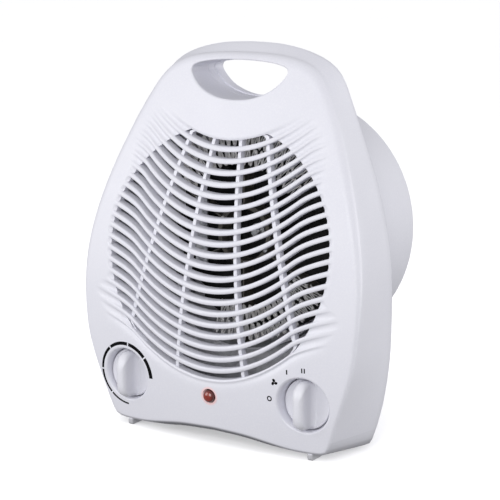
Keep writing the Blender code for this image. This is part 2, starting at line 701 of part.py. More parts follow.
# ---------------------------------------------------------------- heating element on its mica boards
mica = turned("mica_frame", 0.0, AXIS_Z,
              [(20.0, MICA_REAR), (20.0, ELEMENT_REAR + GAP), (17.0, ELEMENT_REAR + GAP), (17.0, MICA_REAR)], MICA, 24, closed=True)
for arm in range(6):
    angle = math.radians(30 + 60 * arm)
    bm = bmesh.new()
    bmesh.ops.create_cube(bm, size=1.0)
    for v in bm.verts:
        radial = 18.4 + (v.co.x + 0.5) * (DUCT_R - DUCT_WALL - 0.3 - 18.4)
        across = v.co.y * 1.2
        depth = ELEMENT_REAR + GAP + (v.co.z + 0.5) * (MICA_REAR - ELEMENT_REAR - GAP - 0.4)
        v.co = at(radial * math.cos(angle) - across * math.sin(angle), depth, AXIS_Z + radial * math.sin(angle) + across * math.cos(angle))
    join(mica, add(f"mica_arm_{arm}", finish_mesh(bm, "arm"), None, cutters))


def arc_band(name, start, end, mat):
    """Band of a ring between two angles from straight up, clockwise from the front."""
    steps = 12
    loop = []
    for radius, order in ((ELEMENT_OUT, range(steps + 1)), (ELEMENT_IN, range(steps, -1, -1))):
        for i in order:
            angle = math.radians(start + (end - start) * i / steps)
            loop.append((radius * math.sin(angle), AXIS_Z + radius * math.cos(angle)))
    return plate(name, [loop], ELEMENT_FRONT, ELEMENT_REAR, mat)


arc_band("element_upper", -56.0, 54.0, WIRE)
arc_band("element_lower", 118.0, 198.0, WIRE)
turned("thermal_cutout", -43.0, 92.0,
       [(0.0, 38.0), (7.0, 38.0), (7.0, 35.4), (5.6, 33.6), (0.0, 33.6)], STEEL, 20)
turned("thermal_fuse", -57.5, 117.0,
       [(0.0, 38.0), (2.0, 38.0), (2.0, 30.0), (0.9, 28.4), (0.0, 28.4)], BRASS, 12)
box("terminal_strap", (-36.0, -27.0), (36.6, 37.9), (108.0, 152.0), STEEL)

# ---------------------------------------------------------------- fan
fan = turned("fan_impeller", 0.0, AXIS_Z,
             [(16.0, FAN_REAR), (16.0, FAN_FRONT + 2.0), (14.0, FAN_FRONT), (SHAFT_R + 0.35, FAN_FRONT), (SHAFT_R + 0.35, FAN_REAR)],
             BLACK, 28, closed=True)
for blade in range(BLADES):
    base = 2 * math.pi * blade / BLADES
    rings = []
    for radius, chord, twist in ((14.5, 15.0, 48.0), (40.0, 26.0, 36.0), (FAN_R, 34.0, 26.0)):
        tilt = math.radians(twist)
        ring = []
        for along, off in ((-0.5, -0.5), (0.0, -0.5 - 1.2), (0.5, -0.5), (0.5, 0.5), (0.0, 0.5 - 1.2), (-0.5, 0.5)):
            tangent = chord * along * math.cos(tilt) - 1.3 * off * math.sin(tilt)
            depth = (FAN_FRONT + FAN_REAR) / 2 + chord * along * math.sin(tilt) + 1.3 * off * math.cos(tilt)
            angle = base + tangent / radius
            ring.append(at(radius * math.cos(angle), depth, AXIS_Z + radius * math.sin(angle)))
        rings.append(ring)
    join(fan, loft(f"blade_{blade}", rings, None, cutters))
turned("fan_clip", 0.0, AXIS_Z,
       [(5.2, FAN_FRONT - GAP), (5.2, FAN_FRONT - 2.2), (SHAFT_R + 0.35, FAN_FRONT - 2.2), (SHAFT_R + 0.35, FAN_FRONT - GAP)],
       STEEL, 16, closed=True)
rod("motor_shaft", 0.0, AXIS_Z, SHAFT_R, FAN_FRONT - 5.0, 110.0, STEEL, 14, origin=at(0.0, FAN_FRONT, AXIS_Z))

# ---------------------------------------------------------------- shaded-pole motor
turned("motor_rotor", 0.0, AXIS_Z,
       [(11.4, CORE_REAR), (11.4, CORE_FRONT), (SHAFT_R + 0.35, CORE_FRONT), (SHAFT_R + 0.35, CORE_REAR)], IRON, 24, closed=True)
core = box("stator_core", (-26.0, 26.0), (CORE_FRONT, CORE_REAR), (AXIS_Z - 42.0, AXIS_Z + 18.0), IRON)
cut(core, rod("stator_bore", 0.0, AXIS_Z, 12.0, 80.0, 105.0, None, 24, cutters))
cut(core, box("stator_window", (-17.0, 17.0), (80.0, 105.0), (AXIS_Z - 31.0, AXIS_Z - 17.0), None, cutters))
for side in (-1, 1):
    cut(core, rod(f"stator_hole_{side}", side * 21.0, AXIS_Z, 2.3, 80.0, 105.0, None, 10, cutters))
coil = box("motor_coil", (-15.5, 15.5), (CORE_FRONT - 6.5, CORE_REAR + 6.5), (AXIS_Z - 49.0, AXIS_Z - 19.0), COPPER, bevel=2.5)
cut(coil, box("coil_passage", (-30.0, 30.0), (CORE_FRONT - 0.5, CORE_REAR + 0.5), (AXIS_Z - 42.5, AXIS_Z - 30.5), None, cutters))
for name, front, rear in (("front", 81.0, 83.0), ("rear", 104.0, 106.0)):
    strap = box(f"bearing_bracket_{name}", (-25.0, 25.0), (front, rear), (AXIS_Z - 8.0, AXIS_Z + 8.0), GALVANISED)
    cut(strap, rod(f"bracket_bore_{name}", 0.0, AXIS_Z, 5.4, 70.0, 115.0, None, 16, cutters))
    for side in (-1, 1):
        cut(strap, rod(f"bracket_hole_{name}_{side}", side * 21.0, AXIS_Z, 2.3, 70.0, 115.0, None, 10, cutters))
    turned(f"bearing_bush_{name}", 0.0, AXIS_Z,
           [(5.0, rear + 1.0), (5.0, front - 1.0), (SHAFT_R + 0.35, front - 1.0), (SHAFT_R + 0.35, rear + 1.0)], BRONZE, 16, closed=True)
mount = box("motor_mount", (-72.0, 72.0), (77.6, 79.1), (AXIS_Z - 7.0, AXIS_Z + 7.0), GALVANISED)
cut(mount, rod("mount_bore", 0.0, AXIS_Z, 6.5, 70.0, 90.0, None, 16, cutters))
for side in (-1, 1):
    cut(mount, rod(f"mount_hole_{side}", side * 21.0, AXIS_Z, 2.3, 70.0, 90.0, None, 10, cutters))
    turned(f"motor_bolt_{'left' if side < 0 else 'right'}", side * 21.0, AXIS_Z,
           [(0.0, 109.5), (3.6, 109.5), (3.6, 106.3), (1.9, 106.3), (1.9, 77.0), (0.0, 76.6)], STEEL, 12)

# ---------------------------------------------------------------- mains terminals, inlet bush and leads
box("terminal_block", (-20.0, 20.0), (64.0, 78.0), (6.0, 18.0), CERAMIC, bevel=0.8)
turned("cord_inlet_bush", -38.0, 18.0,
       [(7.6, 94.4), (8.0, 92.3), (5.3, 92.3), (5.3, 86.0), (3.6, 86.0), (3.6, 94.4)], RUBBER, 20, closed=True)
wire("lead_switch", [(12.0, 63.0, 12.0), (14.0, 56.0, 12.0), (34.0, 47.0, 12.0), (54.0, 39.0, 12.0), (60.0, 30.0, 14.0), (60.0, 26.0, 21.7)], 1.1, LEAD_BROWN)
wire("lead_thermostat", [(-4.0, 63.0, 12.0), (-4.0, 54.0, 12.0), (-24.0, 44.0, 16.0), (-50.0, 37.0, 28.0), (-60.0, 33.2, 34.0)], 1.1, LEAD_BROWN)
wire("lead_pilot", [(0.0, 18.6, PILOT_Z), (2.0, 24.0, 30.0), (24.0, 30.0, 24.0), (44.0, 30.0, 26.0), (51.2, 28.0, 30.0)], 0.8, LEAD_BLUE)
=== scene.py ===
import json
import math

import bmesh
import bpy
import numpy as np
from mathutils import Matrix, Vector

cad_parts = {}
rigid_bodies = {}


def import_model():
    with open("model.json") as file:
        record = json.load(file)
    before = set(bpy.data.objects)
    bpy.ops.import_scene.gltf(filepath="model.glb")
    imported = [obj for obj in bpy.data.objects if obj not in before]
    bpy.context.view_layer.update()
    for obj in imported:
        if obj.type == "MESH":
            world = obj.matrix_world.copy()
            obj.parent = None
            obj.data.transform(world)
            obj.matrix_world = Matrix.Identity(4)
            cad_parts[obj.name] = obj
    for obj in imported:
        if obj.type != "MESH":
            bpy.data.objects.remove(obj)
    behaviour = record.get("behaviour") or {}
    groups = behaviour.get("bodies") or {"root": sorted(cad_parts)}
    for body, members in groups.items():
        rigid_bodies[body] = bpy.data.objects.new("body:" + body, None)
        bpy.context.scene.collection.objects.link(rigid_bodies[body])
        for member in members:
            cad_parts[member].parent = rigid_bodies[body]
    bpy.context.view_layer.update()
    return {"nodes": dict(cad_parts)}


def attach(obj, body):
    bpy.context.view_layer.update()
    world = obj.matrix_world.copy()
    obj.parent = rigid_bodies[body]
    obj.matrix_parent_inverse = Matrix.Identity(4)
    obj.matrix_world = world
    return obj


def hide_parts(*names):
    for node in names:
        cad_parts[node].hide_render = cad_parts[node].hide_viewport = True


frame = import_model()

# ------------------------------------------------------------------ the drawing, in millimetres
DATUM_DEPTH = 55.25
WALL = 2.6
SEAM = 50.0
LEAN, CROWN_X, CROWN_Z, CROWN_FOOT, STRAIGHT_FROM = -0.0617, 0.00129, 0.00303, 53.8, 180.0
STATIONS = [
    (0.0, 8.2, 0.0, 3.4), (22.0, 7.2, 24.0, 2.8), (40.0, 5.2, 44.0, 1.8), (74.6, 4.2, 81.0, 1.2),
    (80.4, 5.6, 87.4, 3.0), (83.6, 11.5, 91.0, 10.4), (89.4, 28.0, 96.0, 28.0), (94.7, 43.0, 99.0, 45.0),
    (99.7, 60.0, 100.8, 62.0), (102.4, 82.0, 101.3, 84.0), (103.2, 102.0, 101.2, 102.0), (102.0, 120.0, 100.2, 120.0),
    (98.9, 137.0, 97.6, 137.0), (94.4, 154.0, 93.6, 155.0), (88.5, 171.6, 88.2, 173.0), (81.5, 189.4, 81.4, 191.5),
    (73.8, 206.8, 74.6, 209.0), (66.7, 220.2, 69.0, 223.0), (61.2, 229.2, 64.6, 232.4), (54.4, 236.2, 58.6, 239.0),
    (45.6, 241.0, 50.0, 244.0), (33.0, 244.2, 37.0, 248.4), (17.0, 245.8, 20.0, 251.4), (0.0, 246.2, 0.0, 252.3),
]
HANDLE_HOLE = [
    (0.0, 241.5), (13.0, 241.1), (25.0, 239.9), (32.0, 238.3), (35.6, 236.5), (36.0, 234.6),
    (34.4, 231.9), (31.0, 227.9), (26.4, 223.9), (19.5, 220.5), (10.5, 217.9), (0.0, 217.0),
]
SLOTS, SLOT_TOP, SLOT_PITCH, SLOT_HEIGHT = 21, 190.6, 7.235, 4.0
WAVE_BOW, WAVE_TURN, WAVE_END_SLOPE, WAVE_FADE = 0.0069, 57.0, 0.30, 8.0
OVAL_CENTRE, OVAL_WIDE, OVAL_UP, OVAL_DOWN = 125.9, 81.3, 76.8, 85.6
GRILLE_DEPTH = 6.6
RIB_INNER, RIB_OUTER, RIB_HALF = (9.9, 192.0, 0.105), (28.0, 197.0, 0.271), 1.1
RIB_DEPTH = 2.1
KNOB_X, KNOB_Z, KNOB_R, KNOB_FACE = 66.9, 36.1, 15.9, 7.9
WING_FRONT = -6.6
RECESS_RIM, RECESS_FLOOR_R, RECESS_FLOOR = 17.5, 16.6, 11.4
PILOT_Z, PILOT_R = 32.3, 4.05
AXIS_Z = 130.0
DRUM_R, DRUM_REAR = 83.0, 117.1
REAR_FACE, REAR_INSET = 69.0, 9.5
POSTS = [(82.0, 64.0), (53.0, 204.0)]
PEDESTAL = (60.0, 92.0, 34.0)


def at(x, y, z):
    return Vector((x, y - DATUM_DEPTH, z)) * 0.001


def to_frame(points):
    """Array of drawing points (..., 3) in metres in the part's frame."""
    p = np.array(points, dtype=float)
    p[..., 1] -= DATUM_DEPTH
    return p * 0.001


def face_depth(x, z):
    x, z = np.asarray(x, float), np.asarray(z, float)
    low = np.minimum(z, STRAIGHT_FROM)
    depth = LEAN * low + CROWN_Z * (low - CROWN_FOOT) ** 2 / 2
    depth = depth + np.where(z > STRAIGHT_FROM, (LEAN + CROWN_Z * (STRAIGHT_FROM - CROWN_FOOT)) * (z - STRAIGHT_FROM), 0.0)
    return depth + CROWN_X * x * x / 2


def wave(x):
    x = np.abs(np.asarray(x, float))
    rise = WAVE_BOW * WAVE_TURN**2
    slope = 2 * WAVE_BOW * WAVE_TURN
    over = np.maximum(x - WAVE_TURN, 0.0)
    far = rise + WAVE_END_SLOPE * over + (slope - WAVE_END_SLOPE) * WAVE_FADE * (1 - np.exp(-over / WAVE_FADE))
    return np.where(x <= WAVE_TURN, WAVE_BOW * x * x, far)


def smoothstep(a, b, v):
    t = np.clip((np.asarray(v, float) - a) / (b - a), 0.0, 1.0)
    return t * t * (3 - 2 * t)


# ------------------------------------------------------------------ smooth closed curves
def spline_points(control, per):
    """Centripetal curve through an open list of points, 'per' steps a span."""
    pts = np.array(control, float)
    ext = np.vstack([2 * pts[0] - pts[1], pts, 2 * pts[-1] - pts[-2]])
    out = []
    for i in range(1, len(ext) - 2):
        p0, p1, p2, p3 = ext[i - 1], ext[i], ext[i + 1], ext[i + 2]
        t0 = 0.0
        t1 = t0 + np.linalg.norm(p1 - p0) ** 0.5
        t2 = t1 + np.linalg.norm(p2 - p1) ** 0.5
        t3 = t2 + np.linalg.norm(p3 - p2) ** 0.5
        for k in range(per):
            t = t1 + (t2 - t1) * k / per
            a1 = (t1 - t) / (t1 - t0) * p0 + (t - t0) / (t1 - t0) * p1
            a2 = (t2 - t) / (t2 - t1) * p1 + (t - t1) / (t2 - t1) * p2
            a3 = (t3 - t) / (t3 - t2) * p2 + (t - t2) / (t3 - t2) * p3
            b1 = (t2 - t) / (t2 - t0) * a1 + (t - t0) / (t2 - t0) * a2
            b2 = (t3 - t) / (t3 - t1) * a2 + (t - t1) / (t3 - t1) * a3
            out.append((t2 - t) / (t2 - t1) * b1 + (t - t1) / (t2 - t1) * b2)
    out.append(pts[-1])
    return np.array(out)


def smooth_loop(loop, spread):
    """Evenly spaced closed loop, its small bumps smoothed over 'spread' millimetres of its length."""
    n = len(loop)
    radius = int(3 * spread)
    kernel = np.exp(-0.5 * (np.arange(-radius, radius + 1) / spread) ** 2)
    kernel /= kernel.sum()
    wrapped = np.concatenate([loop[-radius:], loop, loop[:radius]])
    return np.stack([np.convolve(wrapped[:, k], kernel, "valid") for k in range(loop.shape[1])], 1)


def case_curves():
    """The outline at the front edge and at the seam, about one point a millimetre, with matching points."""
    half = spline_points(STATIONS, 12)
    mirror = half[-2:0:-1] * np.array([-1, 1, -1, 1])
    loop = np.vstack([half, mirror])
    closed = np.vstack([loop, loop[:1]])
    length = np.concatenate([[0], np.cumsum(np.linalg.norm(np.diff(closed[:, :2], axis=0), axis=1))])
    count = int(round(length[-1]))
    where = np.linspace(0, length[-1], count, endpoint=False)
    even = np.stack([np.interp(where, length, closed[:, k]) for k in range(4)], 1)
    soft, crisp = smooth_loop(even, 3.2), smooth_loop(even, 1.2)
    share = smoothstep(20, 46, even[:, 1])[:, None]
    even = crisp * (1 - share) + soft * share
    even = (even + even[(-np.arange(count)) % count] * np.array([-1, 1, -1, 1])) / 2
    return even[:, :2], even[:, 2:]


FRONT_LINE, SEAM_LINE = case_curves()
LINE_COUNT = len(FRONT_LINE)


def inward(line):
    run = np.roll(line, -2, 0) - np.roll(line, 2, 0)
    run /= np.linalg.norm(run, axis=1)[:, None]
    return np.stack([-run[:, 1], run[:, 0]], 1)


FRONT_IN, SEAM_IN = inward(FRONT_LINE), inward(SEAM_LINE)
EDGE_R = 2.4 + 2.8 * smoothstep(60, 175, FRONT_LINE[:, 1])
EDGE_R += 1.7 * (1 - smoothstep(30, 58, np.abs(FRONT_LINE[:, 0]))) * (1 - smoothstep(9, 14, FRONT_LINE[:, 1]))
RIM_LINE = FRONT_LINE + FRONT_IN * EDGE_R[:, None]


def along(line, s):
    """Value of a closed line's table at fractional index s."""
    s = np.asarray(s, float) % LINE_COUNT
    i = np.floor(s).astype(int)
    f = (s - i)[..., None] if line.ndim > 1 else s - i
    return line[i % LINE_COUNT] * (1 - f) + line[(i + 1) % LINE_COUNT] * f


def index_on_rim(points):
    """Fractional index of the rim line's nearest place to each point."""
    points = np.asarray(points)
    a = RIM_LINE
    b = np.roll(RIM_LINE, -1, 0)
    d = b - a
    best = []
    for p in points:
        t = np.clip(((p - a) * d).sum(1) / (d * d).sum(1), 0, 1)
        gap = np.linalg.norm(a + d * t[:, None] - p, axis=1)
        k = int(np.argmin(gap))
        best.append(k + t[k])
    return np.array(best)


right_side = RIM_LINE[(RIM_LINE[:, 0] > 30) & (RIM_LINE[:, 1] > 9) & (RIM_LINE[:, 1] < 238)]
right_side = right_side[np.argsort(right_side[:, 1])]


def rim_half_width(z):
    return np.interp(z, right_side[:, 1], right_side[:, 0])


# ------------------------------------------------------------------ scene pieces
pieces = bpy.data.collections.new("looks")
bpy.context.scene.collection.children.link(pieces)
tools = bpy.data.collections.new("tools")
bpy.context.scene.collection.children.link(tools)


def object_of(name, mesh, collection=pieces):
    obj = bpy.data.objects.new(name, mesh)
    collection.objects.link(obj)
    return obj


def mesh_of(name, points, faces):
    mesh = bpy.data.meshes.new(name)
    mesh.from_pydata([tuple(p) for p in points], [], [tuple(f) for f in faces])
    mesh.validate()
    return mesh


def shade(obj, angle=38):
    obj.data.shade_smooth()
    obj.data.set_sharp_from_angle(angle=math.radians(angle))
    return obj


def volume_sign(mesh):
    bm = bmesh.new()
    bm.from_mesh(mesh)
    value = bm.calc_volume(signed=True)
    bm.free()
    return value


def face_out(mesh):
    if volume_sign(mesh) < 0:
        mesh.flip_normals()
    return mesh


def cut_all(obj, steps):
    """Applies unions and differences one after another and keeps the resulting mesh."""
    for kind, other in steps:
        face_out(other.data)
        modifier = obj.modifiers.new("step", "BOOLEAN")
        modifier.operation = kind
        modifier.solver = "MANIFOLD"
        modifier.object = other
    graph = bpy.context.evaluated_depsgraph_get()
    graph.update()
    result = bpy.data.meshes.new_from_object(obj.evaluated_get(graph))
    obj.modifiers.clear()
    old = obj.data
    result.name = obj.name
    obj.data = result
    if old.users == 0:
        bpy.data.meshes.remove(old)
    for _, other in steps:
        bpy.data.objects.remove(other, do_unlink=True)
    return obj


def loft_mesh(name, rings, caps=True):
    """Closed rings of equally many drawing points (x, y, z)."""
    rings = [to_frame(r) for r in rings]
    n = len(rings[0])
    points = np.vstack(rings)
    faces = []
    for k in range(len(rings) - 1):
        for i in range(n):
            j = (i + 1) % n
            faces.append((k * n + i, k * n + j, (k + 1) * n + j, (k + 1) * n + i))
    if caps:
        faces.append(tuple(range(n - 1, -1, -1)))
        faces.append(tuple((len(rings) - 1) * n + i for i in range(n)))
    return face_out(mesh_of(name, points, faces))


def tool(name, rings):
    return object_of(name, loft_mesh(name, rings), tools)


def circle_ring(x, z, radius, y, n=64):
    a = np.linspace(0, 2 * np.pi, n, endpoint=False)
    return np.stack([x + radius * np.cos(a), np.full(n, y) if np.ndim(y) == 0 else y, z + radius * np.sin(a)], 1)


def hole_loop(grow=0.0, count=140):
    half = spline_points(HANDLE_HOLE, 10)
    loop = np.vstack([half, half[-2:0:-1] * np.array([-1, 1])])
    closed = np.vstack([loop, loop[:1]])
    length = np.concatenate([[0], np.cumsum(np.linalg.norm(np.diff(closed, axis=0), axis=1))])
    where = np.linspace(0, length[-1], count, endpoint=False)
    even = np.stack([np.interp(where, length, closed[:, k]) for k in range(2)], 1)
    even = smooth_loop(even, 1.6)
    run = np.roll(even, -1, 0) - np.roll(even, 1, 0)
    run /= np.linalg.norm(run, axis=1)[:, None]
    out = np.stack([-run[:, 1], run[:, 0]], 1)
    # the loop runs clockwise from its top, so this normal points outwards
    if ((even + out - [0, 229]) ** 2).sum() < ((even - [0, 229]) ** 2).sum():
        out = -out
    return even + out * grow


# ------------------------------------------------------------------ front shell
def front_shell():
    ribs = (RIB_INNER, RIB_OUTER)
    half_gap = SLOT_HEIGHT / 2
    half_slat = (SLOT_PITCH - SLOT_HEIGHT) / 2

    # rows: (height of the row at x = 0, depth on a slat, depth on a rib, depth of a ripple, kind)
    rows = []
    nose = [0.0, 0.42, 0.72, 0.9, 0.985]

    def nose_depth(share):
        return 1.0 * (1 - math.sqrt(max(0.0, 1 - (share * 0.985) ** 2)))

    top_edge = SLOT_TOP + half_gap
    for rise, depth in ((5.2, 0.0), (3.0, 0.0), (1.9, 0.05), (1.2, 0.18), (0.6, 0.46), (0.2, 0.85)):
        rows.append((top_edge + rise, depth, None, depth, "plain"))
    for k in range(SLOTS):
        mid = SLOT_TOP - SLOT_PITCH * k
        edge = nose_depth(1.0)
        rows.append((mid + half_gap, edge, None, edge, "edge"))
        for v, ripple in ((half_gap - 0.07, edge + 0.08), (half_gap * 0.5, edge + 0.62), (0.0, edge + 0.85),
                          (-half_gap * 0.5, edge + 0.62), (-half_gap + 0.07, edge + 0.08)):
            rows.append((mid + v, None, RIB_DEPTH - 0.25 * (1 - abs(v) / half_gap), ripple, "gap"))
        rows.append((mid - half_gap, edge, None, edge, "edge"))
        if k < SLOTS - 1:
            slat = mid - SLOT_PITCH / 2
            for share in nose[::-1]:
                rows.append((slat + share * half_slat, nose_depth(share), None, nose_depth(share), "slat"))
            for share in nose[1:]:
                rows.append((slat - share * half_slat, nose_depth(share), None, nose_depth(share), "slat"))
    low_edge = SLOT_TOP - SLOT_PITCH * (SLOTS - 1) - half_gap
    for drop, depth in ((0.2, 0.62), (0.6, 0.3), (1.0, 0.12), (1.3, 0.08), (1.6, 0.18), (2.0, 0.44), (2.4, 0.66), (2.9, 0.74), (3.5, 0.62), (4.4, 0.38), (5.4, 0.18), (6.8, 0.04), (8.6, 0.0)):
        rows.append((low_edge - drop, depth, None, depth, "sill" if drop > 1.5 else "plain"))

    # columns: equal counts between the knots of every row
    counts = [8, 2, 10, 2, 18, 16, 8]  # middle to inner rib, rib, to outer rib, rib, to the oval, ripple, to the rim
    total = sum(counts)

    def oval_end(u):
        low_x, high_x = 0.0, 84.0
        for _ in range(40):
            x = (low_x + high_x) / 2
            z = u + float(wave(x))
            reach = OVAL_UP if z > OVAL_CENTRE else OVAL_DOWN
            if (x / OVAL_WIDE) ** 2 + ((z - OVAL_CENTRE) / reach) ** 2 < 1:
                low_x = x
            else:
                high_x = x
        return low_x

    def row_x(u):
        # rows beyond the openings keep the columns of the nearest opening's edge
        near = min(max(u, low_edge + 0.05), top_edge - 0.05)
        stops = []
        for rib in ribs:
            x = rib[0] + rib[2] * (rib[1] - near)
            for _ in range(8):
                x = rib[0] + rib[2] * (rib[1] - near - float(wave(x)))
            stops.append(x)
        end = oval_end(near)
        low_x, high_x = 20.0, 101.0
        for _ in range(40):
            x = (low_x + high_x) / 2
            if rim_half_width(u + float(wave(x))) > x:
                low_x = x
            else:
                high_x = x
        rim = low_x
        end = min(end, rim - 9.0)
        outer = min(stops[1], end - 2.4)
        knots = [0.0, stops[0] - RIB_HALF, stops[0] + RIB_HALF, outer - RIB_HALF, outer + RIB_HALF, end]
        knots += [knots[-1] + (rim - knots[-1]) * 0.62, rim]
        xs = [0.0]
        for a, b, n in zip(knots, knots[1:], counts):
            for i in range(1, n + 1):
                xs.append(a + (b - a) * i / n)
        return np.array(xs), end, outer, stops[1]

    grid_x, grid_z, front_y, back_y = [], [], [], []
    open_cell = []
    zone = np.concatenate([[0]] + [np.full(n, i) for i, n in enumerate(counts)])  # zone of column i = cell left of it
    for number, (u, slat, rib, ripple, kind) in enumerate(rows):
        xs, end, outer, wanted = row_x(u)
        z = u + wave(xs)
        base = face_depth(xs, z)
        # how far the waves run out past the oval: long near top and bottom, short at the sides
        end_z = u + float(wave(end))
        run = 2.6 + 22.0 * float(smoothstep(30, 54, abs(end_z - 134.0)))
        past = np.clip((xs - end) / run, 0.0, 1.0)
        fade = (1 - past) ** 1.0 * (1 - smoothstep(0.8, 1.0, past))
        fade = np.where(xs <= end + 1e-6, 1.0, fade)
        edge_fade = 1 - smoothstep(0.86, 1.0, xs / xs[-1])
        fade = fade * np.where(xs > end, edge_fade, 1.0)
        if kind == "gap":
            depth = ripple * fade
            inside = xs <= end - 1e-6
            depth = np.where(inside, rib, depth)
            # the ripple starts deep at the opening's end
        elif kind == "sill":
            # a soft line under the lowest opening, deeper towards its ends
            depth = slat * fade * (0.75 + 0.9 * smoothstep(20, 52, xs))
        else:
            depth = slat * fade
        grid_x.append(xs)
        grid_z.append(z)
        front_y.append(base + depth)
        thick = WALL + (GRILLE_DEPTH - WALL) * (1 - smoothstep(1.2, 4.5, xs - end)) * float(
            smoothstep(-5.6, -2.4, u - low_edge)) * float(1 - smoothstep(2.0, 5.2, u - top_edge))
        back_y.append(base + thick)

    rows_n = len(rows)
    # whole-width arrays, left to right
    full_x = np.array([np.concatenate([-x[:0:-1], x]) for x in grid_x])
    full_z = np.array([np.concatenate([z[:0:-1], z]) for z in grid_z])
    full_f = np.array([np.concatenate([y[:0:-1], y]) for y in front_y])
    full_b = np.array([np.concatenate([y[:0:-1], y]) for y in back_y])
    cols = full_x.shape[1]
    cell_zone = zone[1:]
    cell_zone = np.concatenate([cell_zone[::-1], cell_zone])

    def in_rib(c):
        return cell_zone[c] in (1, 3)

    opened = np.zeros((rows_n - 1, cols - 1), bool)
    for r in range(rows_n - 1):
        kinds = (rows[r][4], rows[r + 1][4])
        if "gap" in kinds:
            for c in range(cols - 1):
                if cell_zone[c] <= 4 and not in_rib(c):
                    opened[r, c] = True
        # the short last opening of the top slot, past the outer rib, is opened like the others
    # ------- plain fields above and below, as patches between their four sides
    def patch(inner_x, inner_z, outer_line, side_right, count, sense):
        """Rows from the inner line (given) to the outer line, sides along the rim. Returns x, z arrays, count rows."""
        t = (inner_x - inner_x[0]) / (inner_x[-1] - inner_x[0])
        xs, zs = [], []
        for k in range(1, count + 1):
            v = k / count
            right = side_right(v)
            left = (-right[0], right[1])
            bx = np.interp(t, outer_line[0], outer_line[1])
            bz = np.interp(t, outer_line[0], outer_line[2])
            # each side's own bow is carried only a little way in from that side
            near_left, near_right = (1 - t) ** 5, t**5
            off_left = [left[i] - (1 - v) * line[0] - v * edge[0] for i, (line, edge) in enumerate(((inner_x, bx), (inner_z, bz)))]
            off_right = [right[i] - (1 - v) * line[-1] - v * edge[-1] for i, (line, edge) in enumerate(((inner_x, bx), (inner_z, bz)))]
            xs.append((1 - v) * inner_x + v * bx + near_left * off_left[0] + near_right * off_right[0])
            zs.append((1 - v) * inner_z + v * bz + near_left * off_left[1] + near_right * off_right[1])
        return xs, zs

    def rim_run(start, stop):
        """Rim points between two fractional indices, in that direction."""
        steps = max(8, int(abs(stop - start) * 2))
        s = np.linspace(start, stop, steps)
        return s, along(RIM_LINE, s)

    def build_patch(inner_x, inner_z, corner_s, count):
        start_s = index_on_rim([(inner_x[-1], inner_z[-1])])[0]
        # side: from the inner line's right end to the corner
        s, edge = rim_run(start_s, corner_s)
        length = np.concatenate([[0], np.cumsum(np.linalg.norm(np.diff(edge, axis=0), axis=1))])
        length /= length[-1]

        def side(v):
            return (np.interp(v, length, edge[:, 0]), np.interp(v, length, edge[:, 1]))

        # outer line: from the left corner over the middle to the right corner
        mid_s = 0.0 if corner_s < LINE_COUNT / 4 else LINE_COUNT / 2
        s, pts = rim_run(mid_s, corner_s)
        both = np.vstack([pts[::-1] * np.array([-1, 1]), pts[1:]])
        run = np.concatenate([[0], np.cumsum(np.linalg.norm(np.diff(both, axis=0), axis=1))])
        run /= run[-1]
        return patch(inner_x, inner_z, (run, both[:, 0], both[:, 1]), side, count, 1)

    top_corner = LINE_COUNT / 2 - 62.0
    low_corner = 74.0
    top_x, top_z = build_patch(full_x[0], full_z[0], top_corner, 22)
    low_x, low_z = build_patch(full_x[-1], full_z[-1], low_corner, 26)
    top_x, top_z = top_x[::-1], top_z[::-1]

    all_x = np.vstack([top_x, full_x, low_x])
    all_z = np.vstack([top_z, full_z, low_z])
    all_f = np.vstack([face_depth(np.array(top_x), np.array(top_z)), full_f, face_depth(np.array(low_x), np.array(low_z))])
    all_b = np.vstack([face_depth(np.array(top_x), np.array(top_z)) + WALL, full_b,
                       face_depth(np.array(low_x), np.array(low_z)) + WALL])
    count_top = len(top_x)
    n_rows = all_x.shape[0]
    is_open = np.zeros((n_rows - 1, cols - 1), bool)
    is_open[count_top:count_top + rows_n - 1] = opened

    front = np.stack([all_x, all_f, all_z], -1).reshape(-1, 3)
    back = np.stack([all_x, all_b, all_z], -1).reshape(-1, 3)
    base = len(front)
    index = np.arange(n_rows * cols).reshape(n_rows, cols)
    a, b = index[:-1, :-1], index[:-1, 1:]
    c, d = index[1:, 1:], index[1:, :-1]
    keep = ~is_open
    quads = np.stack([a[keep], b[keep], c[keep], d[keep]], 1)
    faces = [tuple(q) for q in quads]
    faces += [tuple(q[::-1] + base) for q in quads]
    # walls of the openings
    edge_use = {}
    for q in quads:
        for i in range(4):
            key = (q[i], q[(i + 1) % 4])
            edge_use[key] = True
    perimeter = np.concatenate([index[0, :], index[1:, -1], index[-1, -2::-1], index[-2:0:-1, 0]])
    on_rim = set()
    loop = list(perimeter)
    for i in range(len(loop)):
        on_rim.add((loop[i], loop[(i + 1) % len(loop)]))
        on_rim.add((loop[(i + 1) % len(loop)], loop[i]))
    for (p, q) in edge_use:
        if (q, p) not in edge_use and (p, q) not in on_rim:
            faces.append((q, p, p + base, q + base))
    points = [front, back]
    total_points = 2 * base

